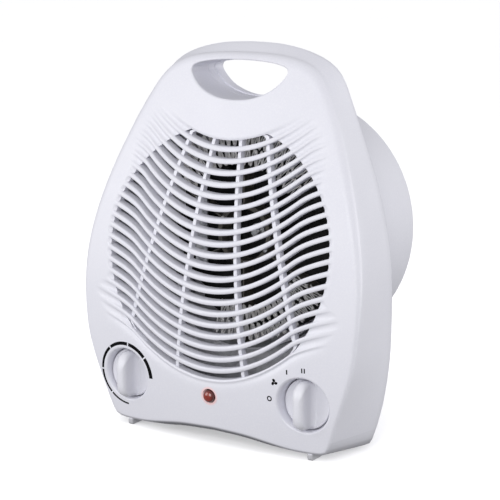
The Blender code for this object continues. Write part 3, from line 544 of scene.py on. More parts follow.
    # rounded front edge, side wall, seam edge and the inside of the side wall
    rim_points = front[perimeter][:, [0, 2]]
    s = index_on_rim(rim_points)
    outer, seam_line = along(FRONT_LINE, s), along(SEAM_LINE, s)
    inn, seam_in, radius = along(FRONT_IN, s), along(SEAM_IN, s), along(EDGE_R, s)
    rings = []
    for degree in (11, 22, 34, 46, 58, 70, 80, 90):
        turn = math.radians(degree)
        xz = outer + inn * (radius * (1 - math.sin(turn)))[:, None]
        y = face_depth(xz[:, 0], xz[:, 1]) + radius * (1 - math.cos(turn))
        rings.append(np.stack([xz[:, 0], y, xz[:, 1]], 1))
    start_y = rings[-1][:, 1]
    for share in (0.12, 0.3, 0.5, 0.7, 0.88):
        xz = outer + (seam_line - outer) * share
        y = start_y + (SEAM - 1.2 - start_y) * share
        rings.append(np.stack([xz[:, 0], y, xz[:, 1]], 1))
    for inset, y in ((0.0, SEAM - 0.75), (0.16, SEAM - 0.3), (0.55, SEAM), (WALL, SEAM)):
        xz = seam_line + seam_in * inset
        rings.append(np.stack([xz[:, 0], np.full(len(xz), y), xz[:, 1]], 1))
    for share in (0.85, 0.4, 0.12):
        mix = outer + (seam_line - outer) * share
        nrm = inn + (seam_in - inn) * share
        xz = mix + nrm * WALL
        y = start_y + 1.2 + (SEAM - start_y - 1.2) * share
        rings.append(np.stack([xz[:, 0], y, xz[:, 1]], 1))
    n = len(perimeter)
    ids = [perimeter]
    for ring in rings:
        points.append(ring)
        ids.append(np.arange(total_points, total_points + n))
        total_points += n
    ids.append(perimeter + base)
    for near, far in zip(ids, ids[1:]):
        for i in range(n):
            j = (i + 1) % n
            faces.append((near[j], near[i], far[i], far[j]))
    mesh = mesh_of("front_shell_moulding", to_frame(np.vstack(points)), faces)
    bm = bmesh.new()
    bm.from_mesh(mesh)
    bmesh.ops.delete(bm, geom=[v for v in bm.verts if not v.link_faces], context="VERTS")
    bmesh.ops.recalc_face_normals(bm, faces=bm.faces[:])
    open_edges = [e for e in bm.edges if len(e.link_faces) != 2]
    if open_edges:
        print("front shell: edges not closed", len(open_edges), [tuple(round(v, 4) for v in e.verts[0].co) for e in open_edges[:6]])
    bm.to_mesh(mesh)
    bm.free()
    face_out(mesh)
    shell = object_of("front_shell_moulding", mesh)

    # handle sleeve and hole, knob cups and recesses, posts, pilot hole, feet
    steps = []

    def face_ring(loop, offset):
        return np.stack([loop[:, 0], face_depth(loop[:, 0], loop[:, 1]) + offset, loop[:, 1]], 1)

    wide = hole_loop(2.4)
    steps.append(("UNION", tool("sleeve", [face_ring(wide, 1.2), np.stack([wide[:, 0], np.full(len(wide), SEAM), wide[:, 1]], 1)])))
    for side in (-1, 1):
        cx = side * KNOB_X
        ring = circle_ring(cx, KNOB_Z, RECESS_RIM + 2.6, 0.0, 72)
        ring[:, 1] = face_depth(ring[:, 0], ring[:, 2]) + 1.3
        far = circle_ring(cx, KNOB_Z, RECESS_RIM + 0.6, RECESS_FLOOR + 2.3, 72)
        steps.append(("UNION", tool("cup", [ring, far])))
        for x, z in POSTS:
            steps.append(("UNION", tool("post", [circle_ring(side * x, z, 3.8, float(face_depth(x, z)) + 1.4, 24),
                                                circle_ring(side * x, z, 3.6, SEAM, 24)])))
        foot = []
        for y, lift, grow in ((7.3, 1.2, -0.5), (7.8, 0.35, -0.15), (8.6, 0.0, 0.0), (18.6, 0.0, 0.0), (19.6, 0.5, -0.1), (20.8, 4.6, -0.2)):
            w = 1.9 + grow
            foot.append(np.array([(side * 68.8 + a * w, y, b) for a, b in
                                  ((-1, 6.3), (-1, lift + 0.5), (-0.8, lift + 0.12), (-0.5, lift), (0.5, lift), (0.8, lift + 0.12), (1, lift + 0.5), (1, 6.3))]))
        steps.append(("UNION", tool("foot", foot)))
    r = 1.15
    rings = []
    for degree in (0, 14, 28, 42, 56, 68, 79):
        turn = math.radians(degree)
        rings.append(face_ring(hole_loop(r * (1 - math.cos(turn))), r * (1 - math.sin(turn))))
    rings.append(face_ring(hole_loop(r * (1 - math.cos(math.radians(79))) + 0.5), -5.0))
    loop = hole_loop(0.0)
    steps.append(("DIFFERENCE", tool("hole", [np.stack([loop[:, 0], np.full(len(loop), SEAM + 6), loop[:, 1]], 1)] + rings)))
    for side in (-1, 1):
        cx = side * KNOB_X
        profile = [(RECESS_FLOOR_R - 0.8, "y", RECESS_FLOOR), (RECESS_FLOOR_R - 0.2, "y", RECESS_FLOOR - 0.25), (RECESS_FLOOR_R, "y", RECESS_FLOOR - 0.9),
                   (RECESS_FLOOR_R + 0.05, "f", 5.4), (RECESS_FLOOR_R + 0.15, "f", 3.9), (RECESS_FLOOR_R + 0.3, "f", 2.6), (RECESS_FLOOR_R + 0.55, "f", 1.5),
                   (RECESS_RIM, "f", 0.66), (RECESS_RIM + 0.45, "f", 0.22), (RECESS_RIM + 0.95, "f", 0.03), (RECESS_RIM + 1.7, "f", -4.0)]
        rings = []
        for radius, kind, value in profile:
            ring = circle_ring(cx, KNOB_Z, radius, 0.0, 96)
            ring[:, 1] = value if kind == "y" else face_depth(ring[:, 0], ring[:, 2]) + value
            rings.append(ring)
        steps.append(("DIFFERENCE", tool("recess", rings)))
        steps.append(("DIFFERENCE", tool("spindle_hole", [circle_ring(cx, KNOB_Z, 4.4, 5.0, 32), circle_ring(cx, KNOB_Z, 4.4, 20.0, 32)])))
        for x, z in POSTS:
            steps.append(("DIFFERENCE", tool("pilot", [circle_ring(side * x, z, 1.8, 34.0, 16), circle_ring(side * x, z, 1.8, 56.0, 16)])))
    f = float(face_depth(0, PILOT_Z))
    rings = [circle_ring(0, PILOT_Z, rad, f + d, 48) for rad, d in
             ((PILOT_R + 0.35, 8.0), (PILOT_R + 0.35, 0.7), (PILOT_R + 0.45, 0.35), (PILOT_R + 0.75, 0.12), (PILOT_R + 1.3, -3.0))]
    steps.append(("DIFFERENCE", tool("lens_hole", rings)))
    cut_all(shell, steps)
    return shade(shell, 40)


# ------------------------------------------------------------------ turned and swept pieces
def turned_mesh(name, x, z, profile, steps=96):
    """Closed body of revolution about the depth axis: profile of (radius, depth), first and last on the axis or
    the profile closed on itself as a ring."""
    a = np.linspace(0, 2 * np.pi, steps, endpoint=False)
    on_axis = profile[0][0] == 0.0 and profile[-1][0] == 0.0
    points, faces = [], []
    body = profile[1:-1] if on_axis else profile
    for radius, depth in body:
        points.append(np.stack([x + radius * np.cos(a), np.full(steps, depth), z + radius * np.sin(a)], 1))
    count = len(body)
    for k in range(count - 1 if on_axis else count):
        for i in range(steps):
            j = (i + 1) % steps
            m = (k + 1) % count
            faces.append((k * steps + i, k * steps + j, m * steps + j, m * steps + i))
    points = list(np.vstack(points))
    if on_axis:
        for end, k in ((profile[0], 0), (profile[-1], count - 1)):
            points.append(np.array([x, end[1], z]))
            tip = len(points) - 1
            for i in range(steps):
                j = (i + 1) % steps
                faces.append((tip, k * steps + j, k * steps + i) if k == 0 else (tip, k * steps + i, k * steps + j))
    mesh = mesh_of(name, to_frame(np.array(points)), faces)
    bm = bmesh.new()
    bm.from_mesh(mesh)
    bmesh.ops.recalc_face_normals(bm, faces=bm.faces[:])
    bm.to_mesh(mesh)
    bm.free()
    return face_out(mesh)


def arc_profile(cx, cy, radius, start, end, steps=8):
    return [(cx + radius * math.cos(math.radians(start + (end - start) * i / steps)),
             cy + radius * math.sin(math.radians(start + (end - start) * i / steps))) for i in range(steps + 1)]


def rod_tool(name, x, z, radius, y0, y1, steps=32):
    return tool(name, [circle_ring(x, z, radius, y0, steps), circle_ring(x, z, radius, y1, steps)])


def wire_mesh(name, lines, radius, sides=8, cyclic=False):
    """Round wire along each line of drawing points."""
    curve = bpy.data.curves.new(name, "CURVE")
    curve.dimensions = "3D"
    curve.bevel_depth = radius * 0.001
    curve.bevel_resolution = max(0, sides // 2 - 2)
    curve.use_fill_caps = True
    for line in lines:
        spline = curve.splines.new("POLY")
        spline.points.add(len(line) - 1)
        for point, place in zip(spline.points, to_frame(np.array(line))):
            point.co = (*place, 1.0)
        spline.use_cyclic_u = cyclic
    holder = bpy.data.objects.new(name, curve)
    tools.objects.link(holder)
    bpy.context.view_layer.update()
    graph = bpy.context.evaluated_depsgraph_get()
    mesh = bpy.data.meshes.new_from_object(holder.evaluated_get(graph))
    mesh.name = name
    bpy.data.objects.remove(holder, do_unlink=True)
    bpy.data.curves.remove(curve)
    bm = bmesh.new()
    bm.from_mesh(mesh)
    bmesh.ops.remove_doubles(bm, verts=bm.verts[:], dist=1e-7)
    bm.to_mesh(mesh)
    bm.free()
    return mesh


# ------------------------------------------------------------------ rear shell
def seam_loop(depth, inset, wall=0.0):
    """The seam line drawn in by 'inset' at the sides and by a third of it along the handle's top, plus a wall."""
    turn = np.clip(np.abs(SEAM_IN[:, 0]) / 0.75, 0, 1) ** 0.8
    share = 0.33 + 0.67 * turn
    share = 1 + (share - 1) * smoothstep(120, 150, SEAM_LINE[:, 1])
    reach = float(inset) * share + wall
    xz = SEAM_LINE + SEAM_IN * reach[:, None]
    return np.stack([xz[:, 0], np.full(LINE_COUNT, depth), xz[:, 1]], 1)


def smooth_inset(inset, wall=0.0):
    """Seam loop well inside the outline, eased so that it does not fold at the small corners."""
    loop = seam_loop(0.0, inset, wall)
    xz = smooth_loop(loop[:, [0, 2]], 1.0 + (inset + wall) * 0.35)
    return xz


def rear_ring(depth, inset, wall=0.0):
    xz = smooth_inset(inset, wall) if inset + wall > 1.0 else seam_loop(0.0, inset, wall)[:, [0, 2]]
    return np.stack([xz[:, 0], np.full(len(xz), depth), xz[:, 1]], 1)


def rounded_box_rings(xs, ys, zs, radius, tip=None):
    """Rings across the depth of a box whose corners are rounded in the front view, with a rounded rear edge."""
    rings = []
    (x0, x1), (y0, y1), (z0, z1) = xs, ys, zs
    tip = radius if tip is None else tip
    stations = [(y0, 0.0)] + [(y1 - tip * (1 - math.sin(math.radians(t))), tip * (1 - math.cos(math.radians(t)))) for t in (0, 15, 30, 45, 60, 75, 90)]
    for y, inset in stations:
        r = max(radius - inset * 0.5, 0.6)
        ring = []
        for cx, cz, start in ((x1 - inset - r, z1 - inset - r, 0), (x0 + inset + r, z1 - inset - r, 90),
                              (x0 + inset + r, z0 + inset + r, 180), (x1 - inset - r, z0 + inset + r, 270)):
            for k in range(7):
                a = math.radians(start + 15 * k)
                ring.append((cx + r * math.cos(a), y, cz + r * math.sin(a)))
        rings.append(np.array(ring))
    return rings


def rear_shell():
    start = SEAM + 0.3
    outside = [(start, 0.75), (start + 0.25, 0.5), (51.3, 0.95), (52.6, 1.8), (54.5, 3.1), (57.0, 4.8), (59.5, 6.5), (62.0, 8.2), (64.2, 9.7),
               (65.9, 10.9), (67.2, 11.9), (68.1, 12.7), (68.7, 13.5), (REAR_FACE, 14.3)]
    shell = object_of("rear_shell_moulding", loft_mesh("rear_shell_moulding", [rear_ring(y, i) for y, i in outside]))
    steps = []
    r = 6.0
    drum = [(0.0, DRUM_REAR)] + [(66.0, DRUM_REAR)] + [(71.2, DRUM_REAR), (71.8, DRUM_REAR - 0.25), (72.2, DRUM_REAR - 0.7), (72.9, DRUM_REAR - 0.7), (73.3, DRUM_REAR - 0.25), (73.9, DRUM_REAR)]
    drum += arc_profile(DRUM_R - r, DRUM_REAR - r, r, 90, 0, 10)
    drum += [(DRUM_R, 90.0), (DRUM_R, 74.0), (DRUM_R + 0.06, 71.6), (DRUM_R + 0.2, 70.2), (DRUM_R + 0.5, 69.3), (DRUM_R + 0.8, 68.4), (DRUM_R + 0.8, 62.0), (0.0, 62.0)]
    steps.append(("UNION", object_of("drum_outside", turned_mesh("drum_outside", 0.0, AXIS_Z, drum, 160), tools)))
    wide, deep, high = PEDESTAL
    steps.append(("UNION", tool("pedestal_outside", rounded_box_rings((-wide, wide), (56.0, deep), (1.5, high), 4.0))))
    inside = [(40.0, 0.4), (50.6, 0.5), (54.5, 3.1), (59.5, 6.5), (64.2, 9.9), (REAR_FACE - WALL, 11.8)]
    steps.append(("DIFFERENCE", tool("rear_inside", [rear_ring(y, i, WALL) for y, i in inside])))
    inner = [(0.0, DRUM_REAR - WALL)] + [(DRUM_R - WALL - 4.0, DRUM_REAR - WALL)] + arc_profile(DRUM_R - WALL - 4.0, DRUM_REAR - WALL - 4.0, 4.0, 90, 0, 6)[1:]
    inner += [(DRUM_R - WALL, 58.0), (0.0, 58.0)]
    steps.append(("DIFFERENCE", object_of("drum_inside", turned_mesh("drum_inside", 0.0, AXIS_Z, inner, 160), tools)))
    steps.append(("DIFFERENCE", tool("pedestal_inside", rounded_box_rings((-wide + WALL, wide - WALL), (50.0, deep - WALL), (1.5 + WALL, high - WALL), 2.0))))
    wide_loop = hole_loop(2.4)
    n = len(wide_loop)
    steps.append(("UNION", tool("sleeve_rear", [np.stack([wide_loop[:, 0], np.full(n, y), wide_loop[:, 1]], 1) for y in (start, REAR_FACE - 1.2)])))
    rings = [np.stack([l[:, 0], np.full(n, y), l[:, 1]], 1) for y, l in
             [(44.0, hole_loop(0.0)), (57.4, hole_loop(0.0)), (57.5, hole_loop(-0.45)), (57.7, hole_loop(-0.75)), (58.1, hole_loop(-0.9))]
             + [(REAR_FACE - 1.0 * (1 - math.sin(math.radians(t))), hole_loop(0.4 + 1.0 * (1 - math.cos(math.radians(t))))) for t in (0, 15, 30, 45, 60, 76)]
             + [(80.0, hole_loop(0.4 + 1.0 * (1 - math.cos(math.radians(76)))))]]
    steps.append(("DIFFERENCE", tool("hole_rear", rings)))
    for side in (-1, 1):
        for x, z in POSTS:
            steps.append(("UNION", rod_tool("well", side * x, z, 5.4, start, REAR_FACE - 1.0, 48)))
    for side in (-1, 1):
        for x, z in POSTS:
            steps.append(("DIFFERENCE", tool("bore", [circle_ring(side * x, z, 3.8, 56.0, 48), circle_ring(side * x, z, 3.8, REAR_FACE - 1.9, 48),
                                                      circle_ring(side * x, z, 3.85, REAR_FACE - 0.7, 48), circle_ring(side * x, z, 4.1, REAR_FACE - 0.2, 48),
                                                      circle_ring(side * x, z, 5.2, REAR_FACE + 1.5, 48)])))
            steps.append(("DIFFERENCE", rod_tool("screw_hole", side * x, z, 1.9, 40.0, 57.0, 24)))
    for number in range(3):
        angle = math.pi / 2 + number * 2 * math.pi / 3
        x, z = 77.6 * math.cos(angle), AXIS_Z + 77.6 * math.sin(angle)
        steps.append(("UNION", rod_tool("duct_post", x, z, 3.4, 89.3, DRUM_REAR - 1.2, 24)))
        steps.append(("DIFFERENCE", rod_tool("duct_post_hole", x, z, 1.7, 80.0, 106.0, 16)))
    # air intake: rows of round-ended slots either side of a middle bar
    for row in range(15):
        z = AXIS_Z + (row - 7) * 9.0
        reach = math.sqrt(69.0**2 - (z - AXIS_Z) ** 2)
        if reach - 4.0 < 8:
            continue
        for side in (-1, 1):
            rings = []
            for y, grow in ((DRUM_REAR - 8.0, 0.0), (DRUM_REAR - 0.9, 0.0), (DRUM_REAR - 0.35, 0.12), (DRUM_REAR - 0.02, 0.42), (DRUM_REAR + 4.0, 3.6)):
                h = 2.1 + grow
                ring = []
                for cx, turn in ((reach - 2.1, -90), (6.1, 90)):
                    for k in range(13):
                        a = math.radians(turn + 15 * k)
                        ring.append((side * (cx + h * math.cos(a)), y, z + h * math.sin(a)))
                rings.append(np.array(ring))
            steps.append(("DIFFERENCE", tool("intake_slot", rings)))
    steps.append(("DIFFERENCE", rod_tool("inlet_hole", -38.0, 18.0, 5.6, 84.0, 100.0, 48)))
    cut_all(shell, steps)
    return shade(shell, 36)


# ------------------------------------------------------------------ knobs
def tang_ring(cx, y, half, reach):
    """Ring of a flattened shaft end: two flats joined by round edges."""
    ring = []
    for turn in (0.0, math.pi):
        for k in range(9):
            a = turn + math.radians(-60 + 15 * k) + math.pi / 2
            ring.append((cx + max(-half, min(half, reach * math.cos(a))), y, KNOB_Z + reach * math.sin(a)))
    return np.array(ring)


def spindle(side, name):
    """Round shaft whose front end is flattened to drive the knob."""
    cx = side * KNOB_X
    shaft = [(0.0, KNOB_FACE + 1.6), (2.7, KNOB_FACE + 1.6), (3.0, KNOB_FACE + 1.9), (3.0, 15.0), (2.7, 15.2), (2.7, 15.8), (3.0, 16.0),
             (3.0, 22.6), (2.6, 23.0), (0.0, 23.0)]
    obj = object_of(f"{name}_spindle_shaft", turned_mesh(f"{name}_spindle_shaft", cx, KNOB_Z, shaft, 48))
    tang = [tang_ring(cx, y, h, r) for y, h, r in ((0.4, 1.1, 2.2), (0.8, 1.5, 2.6), (KNOB_FACE + 2.4, 1.5, 2.6))]
    cut_all(obj, [("UNION", tool("tang", tang))])
    return shade(obj, 32)


def knob(side, name):
    cx = side * KNOB_X
    face = KNOB_FACE - 1.2
    disc = [(0.0, KNOB_FACE + 3.0), (14.6, KNOB_FACE + 3.0), (15.3, KNOB_FACE + 2.85), (15.75, KNOB_FACE + 2.4), (KNOB_R, KNOB_FACE + 1.8)]
    disc += [(KNOB_R, face + 0.9), (15.8, face + 0.5), (15.6, face + 0.2), (15.25, face + 0.02), (14.9, face)]
    disc += [(14.3, face + 0.1), (13.2, face + 0.42), (11.0, face + 0.62), (8.0, face + 0.66), (4.0, face + 0.66), (0.0, face + 0.66)]
    obj = object_of(f"{name}_knob_moulding", turned_mesh(f"{name}_knob_moulding", cx, KNOB_Z, disc, 160))
    height = face - WING_FRONT
    rings = []
    depths = [0.0, 0.05, 0.2, 0.45, 0.8, 1.3, 1.9, 2.6, 3.5, 4.6, 5.8, 7.0, 8.2, 9.2, 10.0, 10.8, 11.5, 12.2, 12.8, 13.4, 13.9, 14.3]
    for d in depths:
        crest = min(1.0, d / 3.4)
        w = 0.5 + 3.0 * math.sqrt(max(0.0, 1 - (1 - crest) ** 2)) + 0.05 * d
        if d > 9.4:
            w += 3.6 * (1 - math.sqrt(max(0.0, 1 - (min(1.0, (d - 9.4) / 5.0)) ** 2)))
        h = max(0.0, height - d) / height
        top = 1.2 + 14.2 * (1 - h**2.7) ** (1 / 2.7)
        low = 1.2 - 16.8 * (1 - h**3.3) ** (1 / 3.3)
        if d == 0.0:
            top, low = 2.6, -0.6
        end = min(3.2, w, (top - low) / 2)
        ring = []
        for sign, reach in ((1, top), (-1, -low)):
            for k in range(33):
                a = math.radians(180 * k / 32)
                x = w * math.cos(a)
                z = min(reach - end + end * math.sin(a), math.sqrt(15.6**2 - x * x))
                ring.append((cx + sign * x, WING_FRONT + d, KNOB_Z + sign * z))
        rings.append(np.array(ring))
    steps = [("UNION", tool("wing", rings)), ("DIFFERENCE", rod_tool("knob_bore", cx, KNOB_Z, 3.35, KNOB_FACE + 0.9, 16.0, 32)),
             ("DIFFERENCE", tool("tang_bore", [tang_ring(cx, y, 1.85, 2.95) for y in (0.1, KNOB_FACE + 1.4)]))]
    cut_all(obj, steps)
    # the wing's ends stay inside the disc's round edge
    middle = at(cx, 0, KNOB_Z)
    for v in obj.data.vertices:
        dx, dz = v.co.x - middle.x, v.co.z - middle.z
        reach = math.hypot(dx, dz)
        if reach > KNOB_R * 0.001:
            v.co.x, v.co.z = middle.x + dx * KNOB_R * 0.001 / reach, middle.z + dz * KNOB_R * 0.001 / reach
    return shade(obj, 34)


# ------------------------------------------------------------------ pilot lens
def pilot_lens():
    f = float(face_depth(0.0, PILOT_Z))
    profile = [(0.0, 5.0), (3.0, 5.0), (3.2, 4.8), (3.2, 4.3), (5.4, 4.3), (5.6, 4.1), (5.6, 3.2), (5.4, 3.0), (PILOT_R, 3.0), (PILOT_R, f - 0.2)]
    profile += [(PILOT_R * math.cos(math.radians(t)), f - 0.2 - 2.7 * math.sin(math.radians(t))) for t in range(9, 90, 9)]
    profile.append((0.0, f - 2.9))
    return shade(object_of("pilot_lens_moulding", turned_mesh("pilot_lens_moulding", 0.0, PILOT_Z, profile, 96)), 34)


# ------------------------------------------------------------------ printed scales
def print_patch(name, shapes):
    """Thin printed shapes lying on the face. Each shape is (grid of (x, z) points, closed way round)."""
    points, faces = [], []
    for grid in shapes:
        grid = np.array(grid)
        rows, cols = grid.shape[:2]
        start = len(points)
        lift = {0: -0.06, 1: 0.30}
        for layer in (0, 1):
            for r in range(rows):
                for c in range(cols):
                    x, z = grid[r, c]
                    points.append((x, float(face_depth(x, z)) + lift[layer], z))
        def at_index(layer, r, c):
            return start + layer * rows * cols + r * cols + c
        for r in range(rows - 1):
            for c in range(cols - 1):
                faces.append((at_index(0, r, c), at_index(0, r, c + 1), at_index(0, r + 1, c + 1), at_index(0, r + 1, c)))
                faces.append((at_index(1, r, c), at_index(1, r + 1, c), at_index(1, r + 1, c + 1), at_index(1, r, c + 1)))
        for c in range(cols - 1):
            faces.append((at_index(0, 0, c + 1), at_index(0, 0, c), at_index(1, 0, c), at_index(1, 0, c + 1)))
            faces.append((at_index(0, rows - 1, c), at_index(0, rows - 1, c + 1), at_index(1, rows - 1, c + 1), at_index(1, rows - 1, c)))
        for r in range(rows - 1):
            faces.append((at_index(0, r, 0), at_index(0, r + 1, 0), at_index(1, r + 1, 0), at_index(1, r, 0)))
            faces.append((at_index(0, r + 1, cols - 1), at_index(0, r, cols - 1), at_index(1, r, cols - 1), at_index(1, r + 1, cols - 1)))
    mesh = mesh_of(name, to_frame(np.array(points, float)), faces)
    bm = bmesh.new()
    bm.from_mesh(mesh)
    bmesh.ops.remove_doubles(bm, verts=bm.verts[:], dist=2e-7)
    bmesh.ops.recalc_face_normals(bm, faces=bm.faces[:])
    bm.to_mesh(mesh)
    bm.free()
    return object_of(name, mesh)


def thermostat_scale():
    """Arc that thickens clockwise round the thermostat knob, broken by five short gaps."""
    def width(angle):
        return 1.15 + 1.7 * (268.0 - angle) / 267.0

    stops = [268.0, 226.0, 178.5, 129.0, 83.0, 40.0, 1.0]
    shapes = []
    for number, (a, b) in enumerate(zip(stops, stops[1:])):
        a2 = a if number == 0 else a - 1.35
        b2 = b if number == len(stops) - 2 else b + 1.35
        count = max(6, int(abs(a2 - b2) / 2))
        inner, outer = [], []
        middle = []
        for k in range(count + 1):
            angle = a2 + (b2 - a2) * k / count
            w = width(angle)
            c, s = math.cos(math.radians(angle)), math.sin(math.radians(angle))
            inner.append((-KNOB_X + (20.9 - w / 2) * c, KNOB_Z + (20.9 - w / 2) * s))
            middle.append((-KNOB_X + 20.9 * c, KNOB_Z + 20.9 * s))
            outer.append((-KNOB_X + (20.9 + w / 2) * c, KNOB_Z + (20.9 + w / 2) * s))
        shapes.append([inner, middle, outer])
    return print_patch("thermostat_scale_print", shapes)


def selector_marks():
    """Generic marks round the selector: off ring, fan, one bar, two bars."""
    shapes = []

    def spot(angle, radius=22.6):
        return KNOB_X + radius * math.cos(math.radians(angle)), KNOB_Z + radius * math.sin(math.radians(angle))

    # off: a small ring
    x, z = spot(176.0)
    ring_in, ring_out = [], []
    for k in range(33):
        a = 2 * math.pi * k / 32
        ring_in.append((x + 0.95 * math.cos(a), z + 1.0 * math.sin(a)))
        ring_out.append((x + 1.7 * math.cos(a), z + 1.75 * math.sin(a)))
    shapes.append([ring_in, ring_out])
    # fan: three blades round a point
    x, z = spot(146.0)
    for blade in range(3):
        base = math.radians(90 + 120 * blade)
        left, right = [], []
        for k in range(9):
            t = k / 8
            reach = 0.2 + 2.1 * t
            half = 0.95 * math.sin(math.pi * (0.1 + 0.8 * t)) ** 0.7
            sweep = base + 0.35 * t
            c, s_ = math.cos(sweep), math.sin(sweep)
            left.append((x + reach * c - half * s_, z + reach * s_ + half * c))
            right.append((x + reach * c + half * s_, z + reach * s_ - half * c))
        shapes.append([left, right])

    def bar(x, z, wide=0.85, tall=3.0):
        return [[(x - wide / 2, z - tall / 2 + tall * k / 4) for k in range(5)], [(x + wide / 2, z - tall / 2 + tall * k / 4) for k in range(5)]]

    x, z = spot(116.0)
    shapes.append(bar(x, z))
    x, z = spot(87.0)
    shapes.append(bar(x - 0.85, z))
    shapes.append(bar(x + 0.85, z))
    return print_patch("selector_marks_print", shapes)


# ------------------------------------------------------------------ heating wires
def element(name, start, end):
    """Corrugated resistance wire: two bands, each of two wires crossing like a lattice, round a sector."""
    lines = []
    for low, high in ((ELEMENT_IN + 0.6, 56.4), (57.4, ELEMENT_OUT - 0.6)):
        mean = (low + high) / 2
        half_pitch = 2.45
        strokes = int(math.radians(end - start) * mean / half_pitch)
        for layer, (depth, phase) in enumerate(((35.0, 0), (37.1, 1))):
            line = []
            for k in range(strokes + 1):
                angle = math.radians(start + (end - start) * k / strokes)
                top = (k + phase) % 2 == 0
                radius = high if top else low
                # a tight round bend at each end of a stroke
                for shift in (-0.28, 0.0, 0.28):
                    a = angle + shift / mean
                    r = radius - (0.35 if shift else 0.0) * (1 if top else -1)
                    lean = 0.25 * math.sin(k * 1.7 + layer)
                    line.append((r * math.sin(a) + 0.1 * lean, depth + 0.15 * lean, AXIS_Z + r * math.cos(a)))
            lines.append(line)
    return shade(object_of(name, wire_mesh(name, lines, 0.5, 8)), 50)


ELEMENT_IN, ELEMENT_OUT = 45.0, 69.0


# ------------------------------------------------------------------ fan
def fan():
    """Seven broad moulded blades on a hub, lapping each other, with aerofoil sections."""
    front_y, rear_y, bore = 57.0, 75.0, 2.35
    hub = [(bore, rear_y), (bore, front_y + 0.4), (3.0, front_y), (7.0, front_y), (7.4, front_y + 0.5), (9.0, front_y + 0.6), (9.4, front_y)]
    hub += arc_profile(13.0, front_y + 3.0, 3.0, -90, 0, 8) + [(16.0, rear_y - 0.6), (15.5, rear_y), (14.0, rear_y), (13.6, rear_y - 5.0), (6.5, rear_y - 5.0), (6.0, rear_y)]
    obj = object_of("fan_impeller_moulding", turned_mesh("fan_impeller_moulding", 0.0, AXIS_Z, hub, 96))
    steps = []
    middle = (front_y + rear_y) / 2
    for blade in range(7):
        base = 2 * math.pi * blade / 7
        rings = []
        for radius, trim in ((13.4, 1.0), (18.0, 1.0), (24.0, 1.0), (32.0, 1.0), (41.0, 1.0), (50.0, 1.0), (58.0, 1.0), (63.0, 0.98), (65.6, 0.95), (66.8, 0.9)):
            spread = 2 * math.pi * radius / 7 + 11.5
            tilt = math.atan2(15.4, spread)
            chord = math.hypot(spread, 15.4) * trim
            ring = []
            for sign in (1, -1):
                for k in range(10):
                    along_chord = (-0.5 + k / 9) * sign
                    thick = 0.25 + 0.65 * math.sqrt(max(0.0, 1 - (2 * along_chord) ** 2)) * (1.3 - 0.3 * radius / 67)
                    camber = -2.2 * (1 - (2 * along_chord) ** 2)
                    off = camber + sign * thick
                    tangent = chord * along_chord * math.cos(tilt) - off * math.sin(tilt)
                    depth = middle + chord * along_chord * math.sin(tilt) + off * math.cos(tilt)
                    angle = base + tangent / radius
                    ring.append((radius * math.cos(angle), depth, AXIS_Z + radius * math.sin(angle)))
            rings.append(np.array(ring))
        steps.append(("UNION", tool("blade", rings)))
    cut_all(obj, steps)
    return shade(obj, 40)


impeller = fan()
front = front_shell()
rear = rear_shell()
knob_left = knob(-1, "thermostat")
knob_right = knob(1, "selector")
spindle_left = spindle(-1, "thermostat")
spindle_right = spindle(1, "selector")
lens = pilot_lens()
scale = thermostat_scale()
marks = selector_marks()
wire_upper = element("heating_wire_upper", -56.0, 54.0)
wire_lower = element("heating_wire_lower", 118.0, 198.0)
for obj in (front, rear, knob_left, knob_right, lens, scale, marks, wire_upper, wire_lower):
    print("piece", obj.name, len(obj.data.polygons))


# ------------------------------------------------------------------ small visible parts
def case_screw(number, x, z):
    """Pan-head screw with a cross recess, seen at the bottom of its well."""
    profile = [(0.0, 59.0), (1.2, 58.97), (2.2, 58.75), (2.9, 58.25), (3.25, 57.5), (3.3, 56.9), (3.2, 56.45), (1.45, 56.4)]
    for k in range(22):
        y = 55.6 - k * 0.75
        profile += [(1.45, y), (1.1, y - 0.375)]
    profile += [(0.5, 38.2), (0.0, 38.0)]
    name = f"case_screw_{number}_detail"
    obj = object_of(name, turned_mesh(name, x, z, profile, 40))
    steps = []
    for turn in (25, 115):
        a = math.radians(turn)
        ux, uz = math.cos(a), math.sin(a)
        rings = []
        for y, grow in ((57.2, 0.55), (59.4, 1.0)):
            half, wide = 1.9 * grow, 0.42 * grow
            rings.append(np.array([(x + half * ux - wide * uz, y, z + half * uz + wide * ux), (x - half * ux - wide * uz, y, z - half * uz + wide * ux),
                                   (x - half * ux + wide * uz, y, z - half * uz - wide * ux), (x + half * ux + wide * uz, y, z + half * uz - wide * ux)]))
        steps.append(("DIFFERENCE", tool("cross", rings)))
    cut_all(obj, steps)
    return shade(obj, 32)


def vertical_turned(name, x, y, profile, steps=64):
    """Body of revolution about an upright axis: profile of (radius, height), both ends on the axis."""
    a = np.linspace(0, 2 * np.pi, steps, endpoint=False)
    rings = [np.stack([x + r * np.cos(a), y + r * np.sin(a), np.full(steps, h)], 1) for r, h in profile[1:-1]]
    points = list(np.vstack(rings))
    faces = []
    for k in range(len(rings) - 1):
        for i in range(steps):
            j = (i + 1) % steps
            faces.append((k * steps + i, k * steps + j, (k + 1) * steps + j, (k + 1) * steps + i))
    for end, k in ((profile[0], 0), (profile[-1], len(rings) - 1)):
        points.append(np.array([x, y, end[1]]))
        tip = len(points) - 1
        for i in range(steps):
            j = (i + 1) % steps
            faces.append((tip, k * steps + j, k * steps + i) if k == 0 else (tip, k * steps + i, k * steps + j))
    mesh = mesh_of(name, to_frame(np.array(points)), faces)
    bm = bmesh.new()
    bm.from_mesh(mesh)
    bmesh.ops.recalc_face_normals(bm, faces=bm.faces[:])
    bm.to_mesh(mesh)
    bm.free()
    face_out(mesh)
    return shade(object_of(name, mesh), 34)


